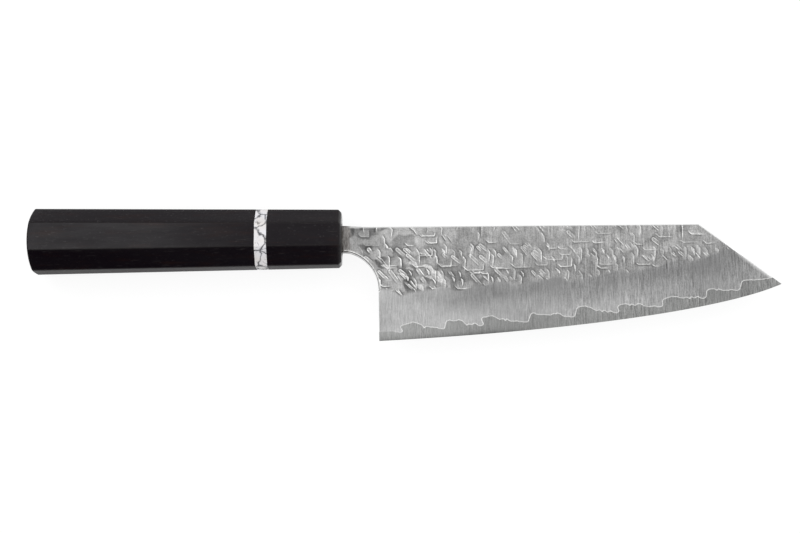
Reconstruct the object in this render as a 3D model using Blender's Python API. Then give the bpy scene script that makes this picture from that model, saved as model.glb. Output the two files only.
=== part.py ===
"""A bunka kitchen knife: a hammered three-layer blade on a tapered eight-sided wooden handle.

The knife lies on its left side: +X runs to the tip, +Y to the spine and +Z up, out of the blade's
right side. Every piece is built about the knife's own axis, with x = 0 on the ferrule's front face,
y = 0 on the handle's axis and z = 0 on the blade's middle plane. One empty then carries them all,
so that the knife's bounding box stands on z = 0, centred in x and y.
"""

import math

import bmesh
import bpy
from mathutils import Vector
from mathutils.geometry import interpolate_bezier

MM = 0.001

# Blade outline, seen square to its side
BLADE_LENGTH = 165.0 * MM
HEEL_SETBACK = 15.2 * MM
HEEL_DEPTH = 42.75 * MM
TIP_DEPTH = 20.8 * MM
SPINE_HEIGHT = 4.75 * MM
POINT_LENGTH = 32.7 * MM
SPINE_FALL = 0.15 * MM
HEEL_RAKE = 0.2 * MM
EDGE_HEEL_SLOPE = 0.045
EDGE_TIP_SLOPE = 0.42
EDGE_FLAT_RUN = 78.0 * MM
EDGE_CURVE_RUN = 25.0 * MM

# Neck, choil and tang
NECK_TOP = 5.2 * MM
NECK_BOTTOM = 5.96 * MM
NECK_SLOPE_LENGTH = 11.0 * MM
NECK_INSIDE = 4.0 * MM
CHOIL_START = 1.5 * MM
CHOIL_DEPTH = 16.0 * MM
CHOIL_NECK_HANDLE = 4.0 * MM
CHOIL_HEEL_HANDLE = 11.0 * MM
TANG_LENGTH = 88.0 * MM
TANG_ROOT_HEIGHT = 8.0 * MM
TANG_END_HEIGHT = 5.0 * MM
TANG_END_THICKNESS = 2.0 * MM

# Blade section
SPINE_THICKNESS_HEEL = 3.3 * MM
SPINE_THICKNESS_POINT = 1.7 * MM
FLAT_THINNING = 0.0135
BEVEL_HEIGHT = 19.0 * MM
BEVEL_FULLNESS = 0.35
EDGE_THICKNESS = 0.2 * MM
EDGE_LAND = 0.3 * MM
SPINE_EASE = 0.45 * MM

# Forge-welded layers
CORE_THICKNESS = 0.9 * MM
CLADDING_LIP = 0.06 * MM
WELD_GAP = 0.04 * MM
LAMINATION_GAP = 0.12 * MM

# Handle
HANDLE_LENGTH = 128.8 * MM
HEIGHT_BUTT = 26.1 * MM
HEIGHT_FRONT = 23.2 * MM
WIDTH_BUTT = 22.4 * MM
WIDTH_FRONT = 18.8 * MM
SIDE_FLAT_BUTT = 11.5 * MM
SIDE_FLAT_FRONT = 9.3 * MM
TOP_FLAT_BUTT = 9.0 * MM
TOP_FLAT_FRONT = 7.6 * MM
CORNER_EASE = 0.35 * MM
BUTT_RADIUS = 38.0 * MM
FERRULE_LENGTH = 30.3 * MM
SPACER_LENGTH = 5.0 * MM
FRONT_CHAMFER = 1.25 * MM
CHAMFER_FLAT_SHARE = 0.35

# Joinery inside the handle
JOINT_GAP = 0.1 * MM
FIT_GAP = 0.3 * MM
BORE_DIAMETER = 11.6 * MM
MORTISE_CLEARANCE = 1.0 * MM
MORTISE_DEPTH = 7.0 * MM
BORE_PAST_TANG = 5.0 * MM
TANG_SLOT_CLEARANCE = 0.5 * MM
SEALANT_BEAD = 0.4 * MM
SEALANT_CORNER_SHARE = 0.5

# The bead's profile, as shares of its width: how far forward, and how far out
BEAD_PROFILE = ((0.0, 0.0), (0.01, 1.0), (0.35, 0.85), (1.0, 0.1))

# Where the lamination line steps up, as a share of the blade's length in front of the heel. Each
# step rises from the low height to the high one, times its own scale. Between steps the line sags.
RIGHT_STEPS = (
    (0.055, 1.0),
    (0.160, 1.12),
    (0.255, 1.16),
    (0.367, 1.10),
    (0.482, 1.15),
    (0.591, 1.0),
    (0.700, 0.96),
    (0.809, 1.05),
    (0.894, 1.08),
)
LEFT_STEPS = (
    (0.073, 1.04),
    (0.188, 1.08),
    (0.303, 0.95),
    (0.403, 1.17),
    (0.533, 1.05),
    (0.630, 1.12),
    (0.752, 0.96),
    (0.855, 1.05),
)
LAMINATION_LOW = 3.1 * MM
LAMINATION_HIGH = 5.9 * MM
LAMINATION_ENDS = 3.8 * MM
STEP_RUN = 2.4 * MM
SAG_SHARE = 0.45

# Fineness of the skins
STATION_SPACING = 6.0 * MM
EDGE_SPACING = 5.0 * MM
CHOIL_POINTS = 12
BEVEL_SHARES = (0.08, 0.15, 0.22, 0.3, 0.4, 0.52, 0.68, 0.84, 1.0)
CUT_MARGIN = 6.0 * MM

heelX = HEEL_SETBACK
tipX = HEEL_SETBACK + BLADE_LENGTH
pointX = tipX - POINT_LENGTH
boreDepth = TANG_LENGTH + BORE_PAST_TANG
bodyFrontX = -FERRULE_LENGTH - SPACER_LENGTH


def clear_scene():
    for thing in list(bpy.data.objects):
        bpy.data.objects.remove(thing)


def make_collection(name):
    collection = bpy.data.collections.new(name)
    bpy.context.scene.collection.children.link(collection)
    return collection


def make_material(name, colour, roughness, metallic):
    material = bpy.data.materials.new(name)
    material.use_nodes = True
    shader = material.node_tree.nodes["Principled BSDF"]
    shader.inputs["Base Color"].default_value = (*colour, 1.0)
    shader.inputs["Roughness"].default_value = roughness
    shader.inputs["Metallic"].default_value = metallic
    return material


def add_object(name, mesh, collection):
    thing = bpy.data.objects.new(name, mesh)
    collection.objects.link(thing)
    return thing


def loft(name, rings, collection):
    """A closed skin through rings of equally many points, capped at both ends."""
    shape = bmesh.new()
    loops = [[shape.verts.new(point) for point in ring] for ring in rings]
    for before, after in zip(loops, loops[1:]):
        for i in range(len(before)):
            j = (i + 1) % len(before)
            shape.faces.new((before[i], before[j], after[j], after[i]))
    shape.faces.new(loops[0])
    shape.faces.new(loops[-1])
    bmesh.ops.recalc_face_normals(shape, faces=shape.faces)
    mesh = bpy.data.meshes.new(name)
    shape.to_mesh(mesh)
    shape.free()
    return add_object(name, mesh, collection)


def prism(name, outline, half_height, collection):
    """A flat outline in x and y as a filled curve with thickness, then made a mesh."""
    curve = bpy.data.curves.new(name, "CURVE")
    curve.dimensions = "2D"
    curve.fill_mode = "BOTH"
    curve.extrude = half_height
    spline = curve.splines.new("POLY")
    spline.points.add(len(outline) - 1)
    for point, (x, y) in zip(spline.points, outline):
        point.co = (x, y, 0.0, 1.0)
    spline.use_cyclic_u = True
    drawn = add_object(name + "_outline", curve, collection)
    graph = bpy.context.evaluated_depsgraph_get()
    mesh = bpy.data.meshes.new_from_object(drawn.evaluated_get(graph))
    shape = bmesh.new()
    shape.from_mesh(mesh)
    bmesh.ops.remove_doubles(shape, verts=shape.verts, dist=1e-7)
    bmesh.ops.recalc_face_normals(shape, faces=shape.faces)
    shape.to_mesh(mesh)
    shape.free()
    bpy.data.objects.remove(drawn)
    return add_object(name, mesh, collection)


def box(name, low, high, collection):
    bpy.ops.mesh.primitive_cube_add(size=1.0)
    thing = bpy.context.object
    thing.name = name
    size = [b - a for a, b in zip(low, high)]
    middle = [(a + b) / 2 for a, b in zip(low, high)]
    for vertex in thing.data.vertices:
        vertex.co = [m + c * s for m, c, s in zip(middle, vertex.co, size)]
    move_to(thing, collection)
    return thing


def cylinder_x(name, radius, x0, x1, collection):
    bpy.ops.mesh.primitive_cylinder_add(
        vertices=48,
        radius=radius,
        depth=x1 - x0,
        location=((x0 + x1) / 2, 0.0, 0.0),
        rotation=(0.0, math.pi / 2, 0.0),
    )
    thing = bpy.context.object
    thing.name = name
    move_to(thing, collection)
    return thing


def move_to(thing, collection):
    for old in list(thing.users_collection):
        old.objects.unlink(thing)
    collection.objects.link(thing)


def cut(thing, other, operation="DIFFERENCE"):
    modifier = thing.modifiers.new(other.name, "BOOLEAN")
    modifier.operation = operation
    modifier.solver = "EXACT"
    modifier.object = other


def hide_cutters(collection):
    for thing in collection.objects:
        thing.hide_render = True
        thing.display_type = "WIRE"


def edge_curve():
    """The cutting edge from heel to tip: nearly straight, then a growing belly."""
    heel = Vector((heelX, -HEEL_DEPTH))
    tip = Vector((tipX, -TIP_DEPTH))
    heel_handle = heel + Vector((EDGE_FLAT_RUN, EDGE_FLAT_RUN * EDGE_HEEL_SLOPE))
    tip_handle = tip - Vector((EDGE_CURVE_RUN, EDGE_CURVE_RUN * EDGE_TIP_SLOPE))
    count = math.ceil(BLADE_LENGTH / EDGE_SPACING) + 1
    points = interpolate_bezier(heel, heel_handle, tip_handle, tip, count)
    return [(point.x, point.y) for point in points]


edgePoints = []


def edge_y(x):
    """Height of the cutting edge at x, carried on straight past the heel and the tip."""
    points = edgePoints
    if x <= points[0][0]:
        return points[0][1]
    for (xa, ya), (xb, yb) in zip(points, points[1:]):
        if x <= xb:
            return ya + (yb - ya) * (x - xa) / (xb - xa)
    (xa, ya), (xb, yb) = points[-2:]
    return yb + (yb - ya) * (x - xb) / (xb - xa)


def spine_y(x):
    """Height of the spine at x: from the neck down to the back, then straight to the point."""
    if x <= NECK_SLOPE_LENGTH:
        share = max(x, 0.0) / NECK_SLOPE_LENGTH
        return NECK_TOP + (SPINE_HEIGHT - NECK_TOP) * share
    share = (x - NECK_SLOPE_LENGTH) / (pointX - NECK_SLOPE_LENGTH)
    return SPINE_HEIGHT - SPINE_FALL * share


def flat_half(x, y):
    """Half thickness of the flat side, which thins in a plane toward the tip and the edge."""
    loss = (SPINE_THICKNESS_HEEL - SPINE_THICKNESS_POINT) / 2 / (pointX - heelX)
    half = SPINE_THICKNESS_HEEL / 2 - loss * (x - heelX) - FLAT_THINNING * (SPINE_HEIGHT - y)
    if x < 0.0:
        neck = SPINE_THICKNESS_HEEL / 2 + loss * heelX
        thinner = (neck - TANG_END_THICKNESS / 2) * -x / TANG_LENGTH
        half = neck - FLAT_THINNING * (SPINE_HEIGHT - y) - thinner
    return max(half, EDGE_THICKNESS / 2)


def half_thickness(x, y):
    """Half thickness of the blade: flat above the bevel's shoulder, a rounded bevel below it."""
    height = y - edge_y(x)
    if height >= BEVEL_HEIGHT:
        return flat_half(x, y)
    shoulder = flat_half(x, edge_y(x) + BEVEL_HEIGHT)
    share = max(height - EDGE_LAND, 0.0) / (BEVEL_HEIGHT - EDGE_LAND)
    rise = share * (1.0 + BEVEL_FULLNESS) - BEVEL_FULLNESS * share**2
    return EDGE_THICKNESS / 2 + (shoulder - EDGE_THICKNESS / 2) * rise


def core_half(x, y):
    """Half thickness of the core steel where cladding covers it."""
    left = half_thickness(x, y) - CLADDING_LIP - WELD_GAP
    return max(min(CORE_THICKNESS / 2, left), EDGE_THICKNESS / 10)


def blade_stations():
    """Places along x where the blade's section is drawn, from past the tang's end to past the tip."""
    count = math.ceil((tipX - heelX) / STATION_SPACING)
    along = [heelX + (tipX - heelX) * i / count for i in range(count + 1)]
    return [-TANG_LENGTH - CUT_MARGIN, 0.0, heelX / 2, *along, tipX + CUT_MARGIN]


def bevel_rows(x):
    """Heights of the section's points at x, from below the edge up to the eased spine."""
    edge = edge_y(x)
    rows = [edge - CUT_MARGIN / 4, edge + EDGE_LAND]
    rows += [edge + EDGE_LAND + (BEVEL_HEIGHT - EDGE_LAND) * share for share in BEVEL_SHARES]
    top = max(spine_y(x), rows[-1] + 4 * SPINE_EASE)
    return rows + [top - SPINE_EASE, top + SPINE_EASE]


def blade_section(x):
    """The whole blade's section at x, with the spine's two corners eased."""
    rows = bevel_rows(x)
    halves = [half_thickness(x, y) for y in rows[:-1]]
    halves.append(max(halves[-1] - 2 * SPINE_EASE, EDGE_THICKNESS / 4))
    right = [(x, y, half) for y, half in zip(rows, halves)]
    left = [(x, y, -half) for y, half in zip(rows, halves)]
    return right + left[::-1]


def cladding_section(x, side, lift):
    """All that lies outside the core's face on one side at x, moved out by lift."""
    rows = bevel_rows(x)
    floor = [(x, y, side * (core_half(x, y) + lift)) for y in rows]
    reach = side * SPINE_THICKNESS_HEEL * 2
    return floor + [(x, rows[-1], reach), (x, rows[0], reach)]


def lamination_line(steps):
    """The line where cladding ends, as points above the edge: sagging runs between quick steps."""
    line = [(heelX - CUT_MARGIN, LAMINATION_ENDS), (heelX, LAMINATION_ENDS)]
    last_x, last_height = line[-1]
    for share, scale in steps:
        x = heelX + share * BLADE_LENGTH
        low, high = LAMINATION_LOW * scale, LAMINATION_HIGH * scale
        sag_x = last_x + (x - last_x) * SAG_SHARE
        line.append((sag_x, last_height + (low - last_height) * SAG_SHARE))
        line.append((x - STEP_RUN / 2, low))
        line.append((x, (low + high) / 2))
        line.append((x + STEP_RUN / 2, high))
        last_x, last_height = line[-1]
    line.append((tipX, LAMINATION_ENDS))
    line.append((tipX + 2 * CUT_MARGIN, LAMINATION_ENDS))
    return line


def cladding_outline(steps, lift):
    """Everything above the lamination line, for cutting the claddings out of the blade."""
    border = [(x, edge_y(x) + height + lift) for x, height in lamination_line(steps)]
    top = NECK_TOP + 2 * CUT_MARGIN
    back = -TANG_LENGTH - 2 * CUT_MARGIN
    return [(back, border[0][1]), *border, (border[-1][0], top), (back, top)]


def blade_outline():
    """The blade and its hidden tang, seen square to the side, anticlockwise from the tang's end."""
    choil_x = heelX - HEEL_RAKE
    neck = Vector((CHOIL_START, -NECK_BOTTOM))
    heel = Vector((choil_x, -NECK_BOTTOM - CHOIL_DEPTH))
    neck_handle = neck + Vector((CHOIL_NECK_HANDLE, 0.0))
    heel_handle = heel + Vector((0.0, CHOIL_HEEL_HANDLE))
    choil = interpolate_bezier(neck, neck_handle, heel_handle, heel, CHOIL_POINTS)
    outline = [
        (-TANG_LENGTH, TANG_END_HEIGHT / 2),
        (-TANG_LENGTH, -TANG_END_HEIGHT / 2),
        (-NECK_INSIDE, -TANG_ROOT_HEIGHT / 2),
        (-NECK_INSIDE, -NECK_BOTTOM),
    ]
    outline += [(point.x, point.y) for point in choil]
    outline += edgePoints
    outline.append((pointX, spine_y(pointX)))
    outline.append((NECK_SLOPE_LENGTH, SPINE_HEIGHT))
    outline += [(0.0, NECK_TOP), (-NECK_INSIDE, NECK_TOP), (-NECK_INSIDE, TANG_ROOT_HEIGHT / 2)]
    return outline


def blade_blank(name, collection, cutters):
    """The blade's outline cut from its lofted section, before the layers are parted."""
    blank = loft(name, [blade_section(x) for x in blade_stations()], collection)
    outline = prism(name + "_outline", blade_outline(), SPINE_THICKNESS_HEEL * 2, cutters)
    cut(blank, outline, "INTERSECT")
    return blank


def cladding_cutter(name, side, steps, lift, rise, cutters):
    """The space of one cladding: outside the core's face and above the lamination line."""
    rings = [cladding_section(x, side, lift) for x in blade_stations()]
    space = loft(name, rings, cutters)
    outline = cladding_outline(steps, rise)
    border = prism(name + "_border", outline, SPINE_THICKNESS_HEEL * 3, cutters)
    cut(space, border, "INTERSECT")
    return space


def build_core(parts, cutters):
    core = blade_blank("core_steel", parts, cutters)
    for side, steps, word in ((1, RIGHT_STEPS, "right"), (-1, LEFT_STEPS, "left")):
        pocket = cladding_cutter("pocket_" + word, side, steps, 0.0, 0.0, cutters)
        cut(core, pocket)
    return core


def build_cladding(word, side, steps, parts, cutters):
    cladding = blade_blank("cladding_" + word, parts, cutters)
    space = cladding_cutter("space_" + word, side, steps, WELD_GAP, LAMINATION_GAP, cutters)
    cut(cladding, space, "INTERSECT")
    return cladding


def handle_size(x, butt, front):
    """A handle dimension at x, which changes evenly from the butt to the ferrule's front."""
    return front + (butt - front) * -x / HANDLE_LENGTH


def octagon(x, inset=0.0):
    """The handle's eight-sided section at x, with each corner eased by a narrow flat."""
    half_y = handle_size(x, HEIGHT_BUTT, HEIGHT_FRONT) / 2 - inset
    half_z = handle_size(x, WIDTH_BUTT, WIDTH_FRONT) / 2 - inset
    narrower = inset * CHAMFER_FLAT_SHARE
    side = handle_size(x, SIDE_FLAT_BUTT, SIDE_FLAT_FRONT) / 2 - narrower
    top = handle_size(x, TOP_FLAT_BUTT, TOP_FLAT_FRONT) / 2 - narrower
    corners = [
        (half_y, top),
        (side, half_z),
        (-side, half_z),
        (-half_y, top),
        (-half_y, -top),
        (-side, -half_z),
        (side, -half_z),
        (half_y, -top),
    ]
    ring = []
    for i, corner in enumerate(corners):
        here = Vector(corner)
        for other in (corners[i - 1], corners[(i + 1) % 8]):
            toward = (Vector(other) - here).normalized()
            eased = here + toward * CORNER_EASE
            ring.append((x, eased.x, eased.y))
    return ring


def build_ferrule(parts, cutters):
    rings = [octagon(-FERRULE_LENGTH), octagon(-FRONT_CHAMFER), octagon(0.0, FRONT_CHAMFER)]
    ferrule = loft("ferrule", rings, parts)
    bore_end = -MORTISE_DEPTH
    bore = cylinder_x(
        "ferrule_bore", BORE_DIAMETER / 2, -FERRULE_LENGTH - CUT_MARGIN, bore_end, cutters
    )
    half = flat_half(0.0, NECK_TOP) + MORTISE_CLEARANCE
    low = (bore_end - CUT_MARGIN, -NECK_BOTTOM - MORTISE_CLEARANCE, -half)
    high = (CUT_MARGIN, NECK_TOP + MORTISE_CLEARANCE, half)
    mortise = box("mortise", low, high, cutters)
    cut(ferrule, bore)
    cut(ferrule, mortise)
    return ferrule


def build_spacer(parts, cutters):
    rear = bodyFrontX + JOINT_GAP
    front = -FERRULE_LENGTH - JOINT_GAP
    spacer = loft("spacer_ring", [octagon(rear), octagon(front)], parts)
    bore = cylinder_x(
        "spacer_bore", BORE_DIAMETER / 2, rear - CUT_MARGIN, front + CUT_MARGIN, cutters
    )
    cut(spacer, bore)
    return spacer


def build_body(parts, cutters):
    body = loft("handle_body", [octagon(-HANDLE_LENGTH), octagon(bodyFrontX)], parts)
    bore = cylinder_x(
        "body_bore", BORE_DIAMETER / 2, -boreDepth, bodyFrontX + CUT_MARGIN, cutters
    )
    reach = max(HEIGHT_BUTT, WIDTH_BUTT)
    corner = math.hypot(HEIGHT_BUTT, WIDTH_BUTT) / 2
    dome_depth = BUTT_RADIUS - math.sqrt(BUTT_RADIUS**2 - corner**2)
    low = (-HANDLE_LENGTH - CUT_MARGIN, -reach, -reach)
    high = (-HANDLE_LENGTH + dome_depth, reach, reach)
    butt = box("butt_trim", low, high, cutters)
    bpy.ops.mesh.primitive_uv_sphere_add(
        segments=72,
        ring_count=64,
        radius=BUTT_RADIUS,
        location=(-HANDLE_LENGTH + BUTT_RADIUS, 0.0, 0.0),
        rotation=(0.0, math.pi / 2, 0.0),
    )
    dome = bpy.context.object
    dome.name = "butt_dome"
    move_to(dome, cutters)
    cut(butt, dome)
    cut(body, butt)
    cut(body, bore)
    return body


def build_dowel(parts, cutters):
    """The hardwood dowel that lines up the handle's three pieces and grips the tang."""
    rear = -boreDepth + FIT_GAP
    front = -MORTISE_DEPTH - FIT_GAP
    radius = BORE_DIAMETER / 2 - FIT_GAP
    dowel = cylinder_x("tang_dowel", radius, rear, front, parts)
    half = flat_half(-NECK_INSIDE, SPINE_HEIGHT) + TANG_SLOT_CLEARANCE
    low = (-TANG_LENGTH - FIT_GAP, -BORE_DIAMETER, -half)
    high = (CUT_MARGIN, BORE_DIAMETER, half)
    slot = box("tang_slot", low, high, cutters)
    cut(dowel, slot)
    return dowel


def build_sealant(parts, cutters):
    """The bed that seals the neck in the ferrule's mortise, with a low bead round its mouth."""
    half = flat_half(0.0, NECK_TOP) + MORTISE_CLEARANCE - FIT_GAP
    top = NECK_TOP + MORTISE_CLEARANCE - FIT_GAP
    bottom = -NECK_BOTTOM - MORTISE_CLEARANCE + FIT_GAP
    rear = -NECK_INSIDE
    profile = [(rear, 0.0)]
    for along, out in BEAD_PROFILE:
        profile.append((FIT_GAP + SEALANT_BEAD * along, SEALANT_BEAD * out))
    rings = []
    for x, spread in profile:
        y0, y1, z = bottom - spread, top + spread, half + spread
        soft = z * SEALANT_CORNER_SHARE
        rings.append(
            [
                (x, y1, z - soft),
                (x, y1 - soft, z),
                (x, y0 + soft, z),
                (x, y0, z - soft),
                (x, y0, -z + soft),
                (x, y0 + soft, -z),
                (x, y1 - soft, -z),
                (x, y1, -z + soft),
            ]
        )
    sealant = loft("mouth_sealant", rings, parts)
    neck_half = flat_half(0.0, NECK_TOP) + FIT_GAP
    low = (rear - CUT_MARGIN, -NECK_BOTTOM - FIT_GAP, -neck_half)
    high = (CUT_MARGIN, NECK_TOP + FIT_GAP, neck_half)
    cut(sealant, box("neck_space", low, high, cutters))
    return sealant


def knife_frame(parts, cutters):
    """The empty that stands the knife's bounding box on z = 0, centred in x and y."""
    graph = bpy.context.evaluated_depsgraph_get()
    corners = []
    for thing in parts.objects:
        mesh = thing.evaluated_get(graph).to_mesh()
        corners += [thing.matrix_world @ vertex.co for vertex in mesh.vertices]
    low = Vector([min(corner[i] for corner in corners) for i in range(3)])
    high = Vector([max(corner[i] for corner in corners) for i in range(3)])
    frame = bpy.data.objects.new("knife_frame", None)
    frame.location = (-(low.x + high.x) / 2, -(low.y + high.y) / 2, -low.z)
    for thing in (*parts.objects, *cutters.objects):
        thing.parent = frame
    parts.objects.link(frame)
    return frame


def main():
    clear_scene()
    parts = make_collection("bunka_knife")
    cutters = make_collection("cutters")
    edgePoints[:] = edge_curve()

    steel = make_material("core_steel", (0.50, 0.51, 0.52), 0.34, 1.0)
    iron = make_material("cladding", (0.45, 0.46, 0.47), 0.42, 1.0)
    ebony = make_material("ebony", (0.022, 0.020, 0.021), 0.42, 0.0)
    stone = make_material("veined_stone", (0.84, 0.83, 0.81), 0.28, 0.0)
    beech = make_material("dowel_wood", (0.52, 0.36, 0.21), 0.65, 0.0)
    resin = make_material("sealant", (0.10, 0.085, 0.075), 0.55, 0.0)

    built = (
        (build_core(parts, cutters), steel),
        (build_cladding("right", 1, RIGHT_STEPS, parts, cutters), iron),
        (build_cladding("left", -1, LEFT_STEPS, parts, cutters), iron),
        (build_ferrule(parts, cutters), ebony),
        (build_spacer(parts, cutters), stone),
        (build_body(parts, cutters), ebony),
        (build_dowel(parts, cutters), beech),
        (build_sealant(parts, cutters), resin),
    )
    for thing, material in built:
        thing.data.materials.clear()
        thing.data.materials.append(material)
    bpy.context.view_layer.update()
    hide_cutters(cutters)
    knife_frame(parts, cutters)


main()
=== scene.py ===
import math
import random

import bpy
import numpy as np
from mathutils import Matrix, Vector
from mathutils.geometry import delaunay_2d_cdt


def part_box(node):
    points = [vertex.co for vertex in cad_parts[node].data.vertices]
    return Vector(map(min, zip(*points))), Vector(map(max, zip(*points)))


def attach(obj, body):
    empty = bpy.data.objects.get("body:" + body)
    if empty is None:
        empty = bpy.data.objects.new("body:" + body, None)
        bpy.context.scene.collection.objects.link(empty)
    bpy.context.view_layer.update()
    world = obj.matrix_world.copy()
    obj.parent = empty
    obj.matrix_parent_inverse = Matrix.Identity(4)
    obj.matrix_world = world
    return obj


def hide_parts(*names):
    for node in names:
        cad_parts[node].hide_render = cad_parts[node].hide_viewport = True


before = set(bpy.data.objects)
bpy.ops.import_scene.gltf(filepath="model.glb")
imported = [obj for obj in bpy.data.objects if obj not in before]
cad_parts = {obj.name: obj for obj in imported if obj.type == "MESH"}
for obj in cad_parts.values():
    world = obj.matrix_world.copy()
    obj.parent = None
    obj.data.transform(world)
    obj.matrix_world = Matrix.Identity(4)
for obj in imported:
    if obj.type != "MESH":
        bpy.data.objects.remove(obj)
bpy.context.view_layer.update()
print("frame loaded:", ", ".join(sorted(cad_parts)))

mm = 0.001

# the knife's own axes: x = 0 on the ferrule's front face, y = 0 and z = 0 on the handle's axis
ferruleLow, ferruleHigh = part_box("ferrule")
knifeOrigin = np.array([
    ferruleHigh.x,
    (ferruleLow.y + ferruleHigh.y) / 2,
    (ferruleLow.z + ferruleHigh.z) / 2,
])

# all lengths from here on are in millimetres, seen square to the blade's side
blade = {
    "length": 165.0,
    "heelSetback": 15.2,
    "heelDepth": 42.75,
    "tipDepth": 20.8,
    "spineHeight": 4.75,
    "spineFall": 0.15,
    "pointLength": 32.7,
    "heelRake": 0.2,
    "edgeHeelSlope": 0.045,
    "edgeTipSlope": 0.42,
    "edgeFlatRun": 78.0,
    "edgeCurveRun": 25.0,
    "neckTop": 5.2,
    "neckBottom": 5.96,
    "neckSlopeLength": 11.0,
    "neckInside": 4.0,
    "choilStart": 1.5,
    "choilDepth": 16.0,
    "choilNeckHandle": 4.0,
    "choilHeelHandle": 11.0,
    "tangLength": 88.0,
    "tangRootHeight": 8.0,
    "tangEndHeight": 5.0,
    "tangEndThickness": 2.0,
    "spineThicknessHeel": 3.3,
    "spineThicknessPoint": 1.7,
    "flatThinning": 0.0135,
    "bevelHeight": 19.0,
    "bevelFullness": 0.35,
    "edgeThickness": 0.06,
    "coreThickness": 0.9,
    "claddingLip": 0.06,
    "weldGap": 0.04,
    "outlineSpacing": 0.28,
    "edgeSpacing": 0.4,
    "neckSpacing": 0.5,
    "tangSpacing": 4.0,
    "hiddenSpacing": 3.0,
    "gridLow": -44.0,
    "gridHigh": 6.0,
}
heelX = blade["heelSetback"]
tipX = heelX + blade["length"]
pointX = tipX - blade["pointLength"]
neckTop = blade["neckTop"]
neckLow = -blade["neckBottom"]
tangBack = -blade["tangLength"]


def curvePoints(start, startHandle, endHandle, end, count):
    t = np.linspace(0.0, 1.0, count)[:, None]
    corners = [np.array(p, float) for p in (start, startHandle, endHandle, end)]
    weights = ((1 - t) ** 3, 3 * (1 - t) ** 2 * t, 3 * (1 - t) * t**2, t**3)
    return sum(weight * corner for weight, corner in zip(weights, corners))


heelCorner = np.array([heelX, -blade["heelDepth"]])
tipCorner = np.array([tipX, -blade["tipDepth"]])
edgeLine = curvePoints(
    heelCorner,
    heelCorner + np.array([1.0, blade["edgeHeelSlope"]]) * blade["edgeFlatRun"],
    tipCorner - np.array([1.0, blade["edgeTipSlope"]]) * blade["edgeCurveRun"],
    tipCorner,
    400,
)


def edgeY(x):
    return np.interp(x, edgeLine[:, 0], edgeLine[:, 1])


def spineY(x):
    x = np.asarray(x, float)
    slope = blade["neckSlopeLength"]
    neck = neckTop + (blade["spineHeight"] - neckTop) * np.clip(x, 0, slope) / slope
    back = blade["spineHeight"] - blade["spineFall"] * (x - slope) / (pointX - slope)
    return np.where(x <= slope, neck, back)


def pointY(x):
    # height of the straight slope from the spine's corner down to the tip
    top = float(spineY(pointX))
    return top - (top + blade["tipDepth"]) * (np.asarray(x, float) - pointX) / (tipX - pointX)


def flatHalf(x, y):
    # half the thickness above the bevel, and along the tang
    thick, thin = blade["spineThicknessHeel"] / 2, blade["spineThicknessPoint"] / 2
    loss = (thick - thin) / (pointX - heelX)
    drop = blade["flatThinning"] * (blade["spineHeight"] - y)
    neck = thick + loss * heelX
    tang = neck - drop - (neck - blade["tangEndThickness"] / 2) * x / tangBack
    half = np.where(x < 0, tang, thick - loss * (x - heelX) - drop)
    return np.maximum(half, blade["edgeThickness"] / 2)


def halfThickness(x, y):
    edge = edgeY(x)
    height = y - edge
    shoulder = flatHalf(x, edge + blade["bevelHeight"])
    share = np.clip(height / blade["bevelHeight"], 0.0, 1.0)
    full = blade["bevelFullness"]
    rise = share * (1 + full) - full * share**2
    thin = blade["edgeThickness"] / 2
    return np.where(height >= blade["bevelHeight"], flatHalf(x, y), thin + (shoulder - thin) * rise)


def coreHalf(x, y):
    left = halfThickness(x, y) - blade["claddingLip"] - blade["weldGap"]
    return np.clip(left, blade["edgeThickness"] / 3, blade["coreThickness"] / 2)


def smoothStep(low, high, value):
    t = np.clip((value - low) / (high - low), 0.0, 1.0)
    return t * t * (3 - 2 * t)


def ramped(x, start, *steps):
    # a value along the blade: a starting level, then steps (from x, to x, change)
    return start + sum(change * smoothStep(low, high, x) for low, high, change in steps)


def bell(away, width):
    return np.exp(-((away / width) ** 2))


def resample(points, spacing):
    points = np.asarray(points, float)
    steps = np.hypot(*np.diff(points, axis=0).T)
    along = np.concatenate([[0.0], np.cumsum(steps)])
    count = max(int(round(along[-1] / spacing)), 1)
    at = np.linspace(0.0, along[-1], count + 1)
    return np.column_stack([np.interp(at, along, points[:, i]) for i in range(2)])


def joinRuns(*runs):
    # one line out of several that meet end to end, each meeting point kept once
    return np.vstack([runs[0]] + [run[1:] for run in runs[1:]])


def cutCorners(points):
    # a line with its corners cut, ends kept
    points = np.asarray(points, float)
    near = points[:-1] * 0.75 + points[1:] * 0.25
    far = points[:-1] * 0.25 + points[1:] * 0.75
    middle = np.column_stack([near, far]).reshape(-1, 2)
    return np.vstack([points[:1], middle[1:-1], points[-1:]])


def lineDistance(points, line, values=None):
    # distance of each point from a line, which side of it, how far past its ends, and a value along it
    best = np.full(len(points), np.inf)
    side, past, carried = np.zeros((3, len(points)))
    last = len(line) - 2
    for i in range(last + 1):
        a, run = line[i], line[i + 1] - line[i]
        size = max(run @ run, 1e-12)
        t = ((points - a) @ run) / size
        held = np.clip(t, 0.0, 1.0)
        away = points - (a + held[:, None] * run)
        distance = np.hypot(away[:, 0], away[:, 1])
        closer = distance < best
        best[closer] = distance[closer]
        cross = run[0] * (points[:, 1] - a[1]) - run[1] * (points[:, 0] - a[0])
        side[closer] = np.sign(cross[closer])
        over = np.maximum(-t * (i == 0), (t - 1.0) * (i == last))
        past[closer] = np.maximum(over, 0.0)[closer] * math.sqrt(size)
        if values is not None:
            at = values[i] + (values[i + 1] - values[i]) * held
            carried[closer] = at[closer]
    return best, side, past, carried


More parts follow.
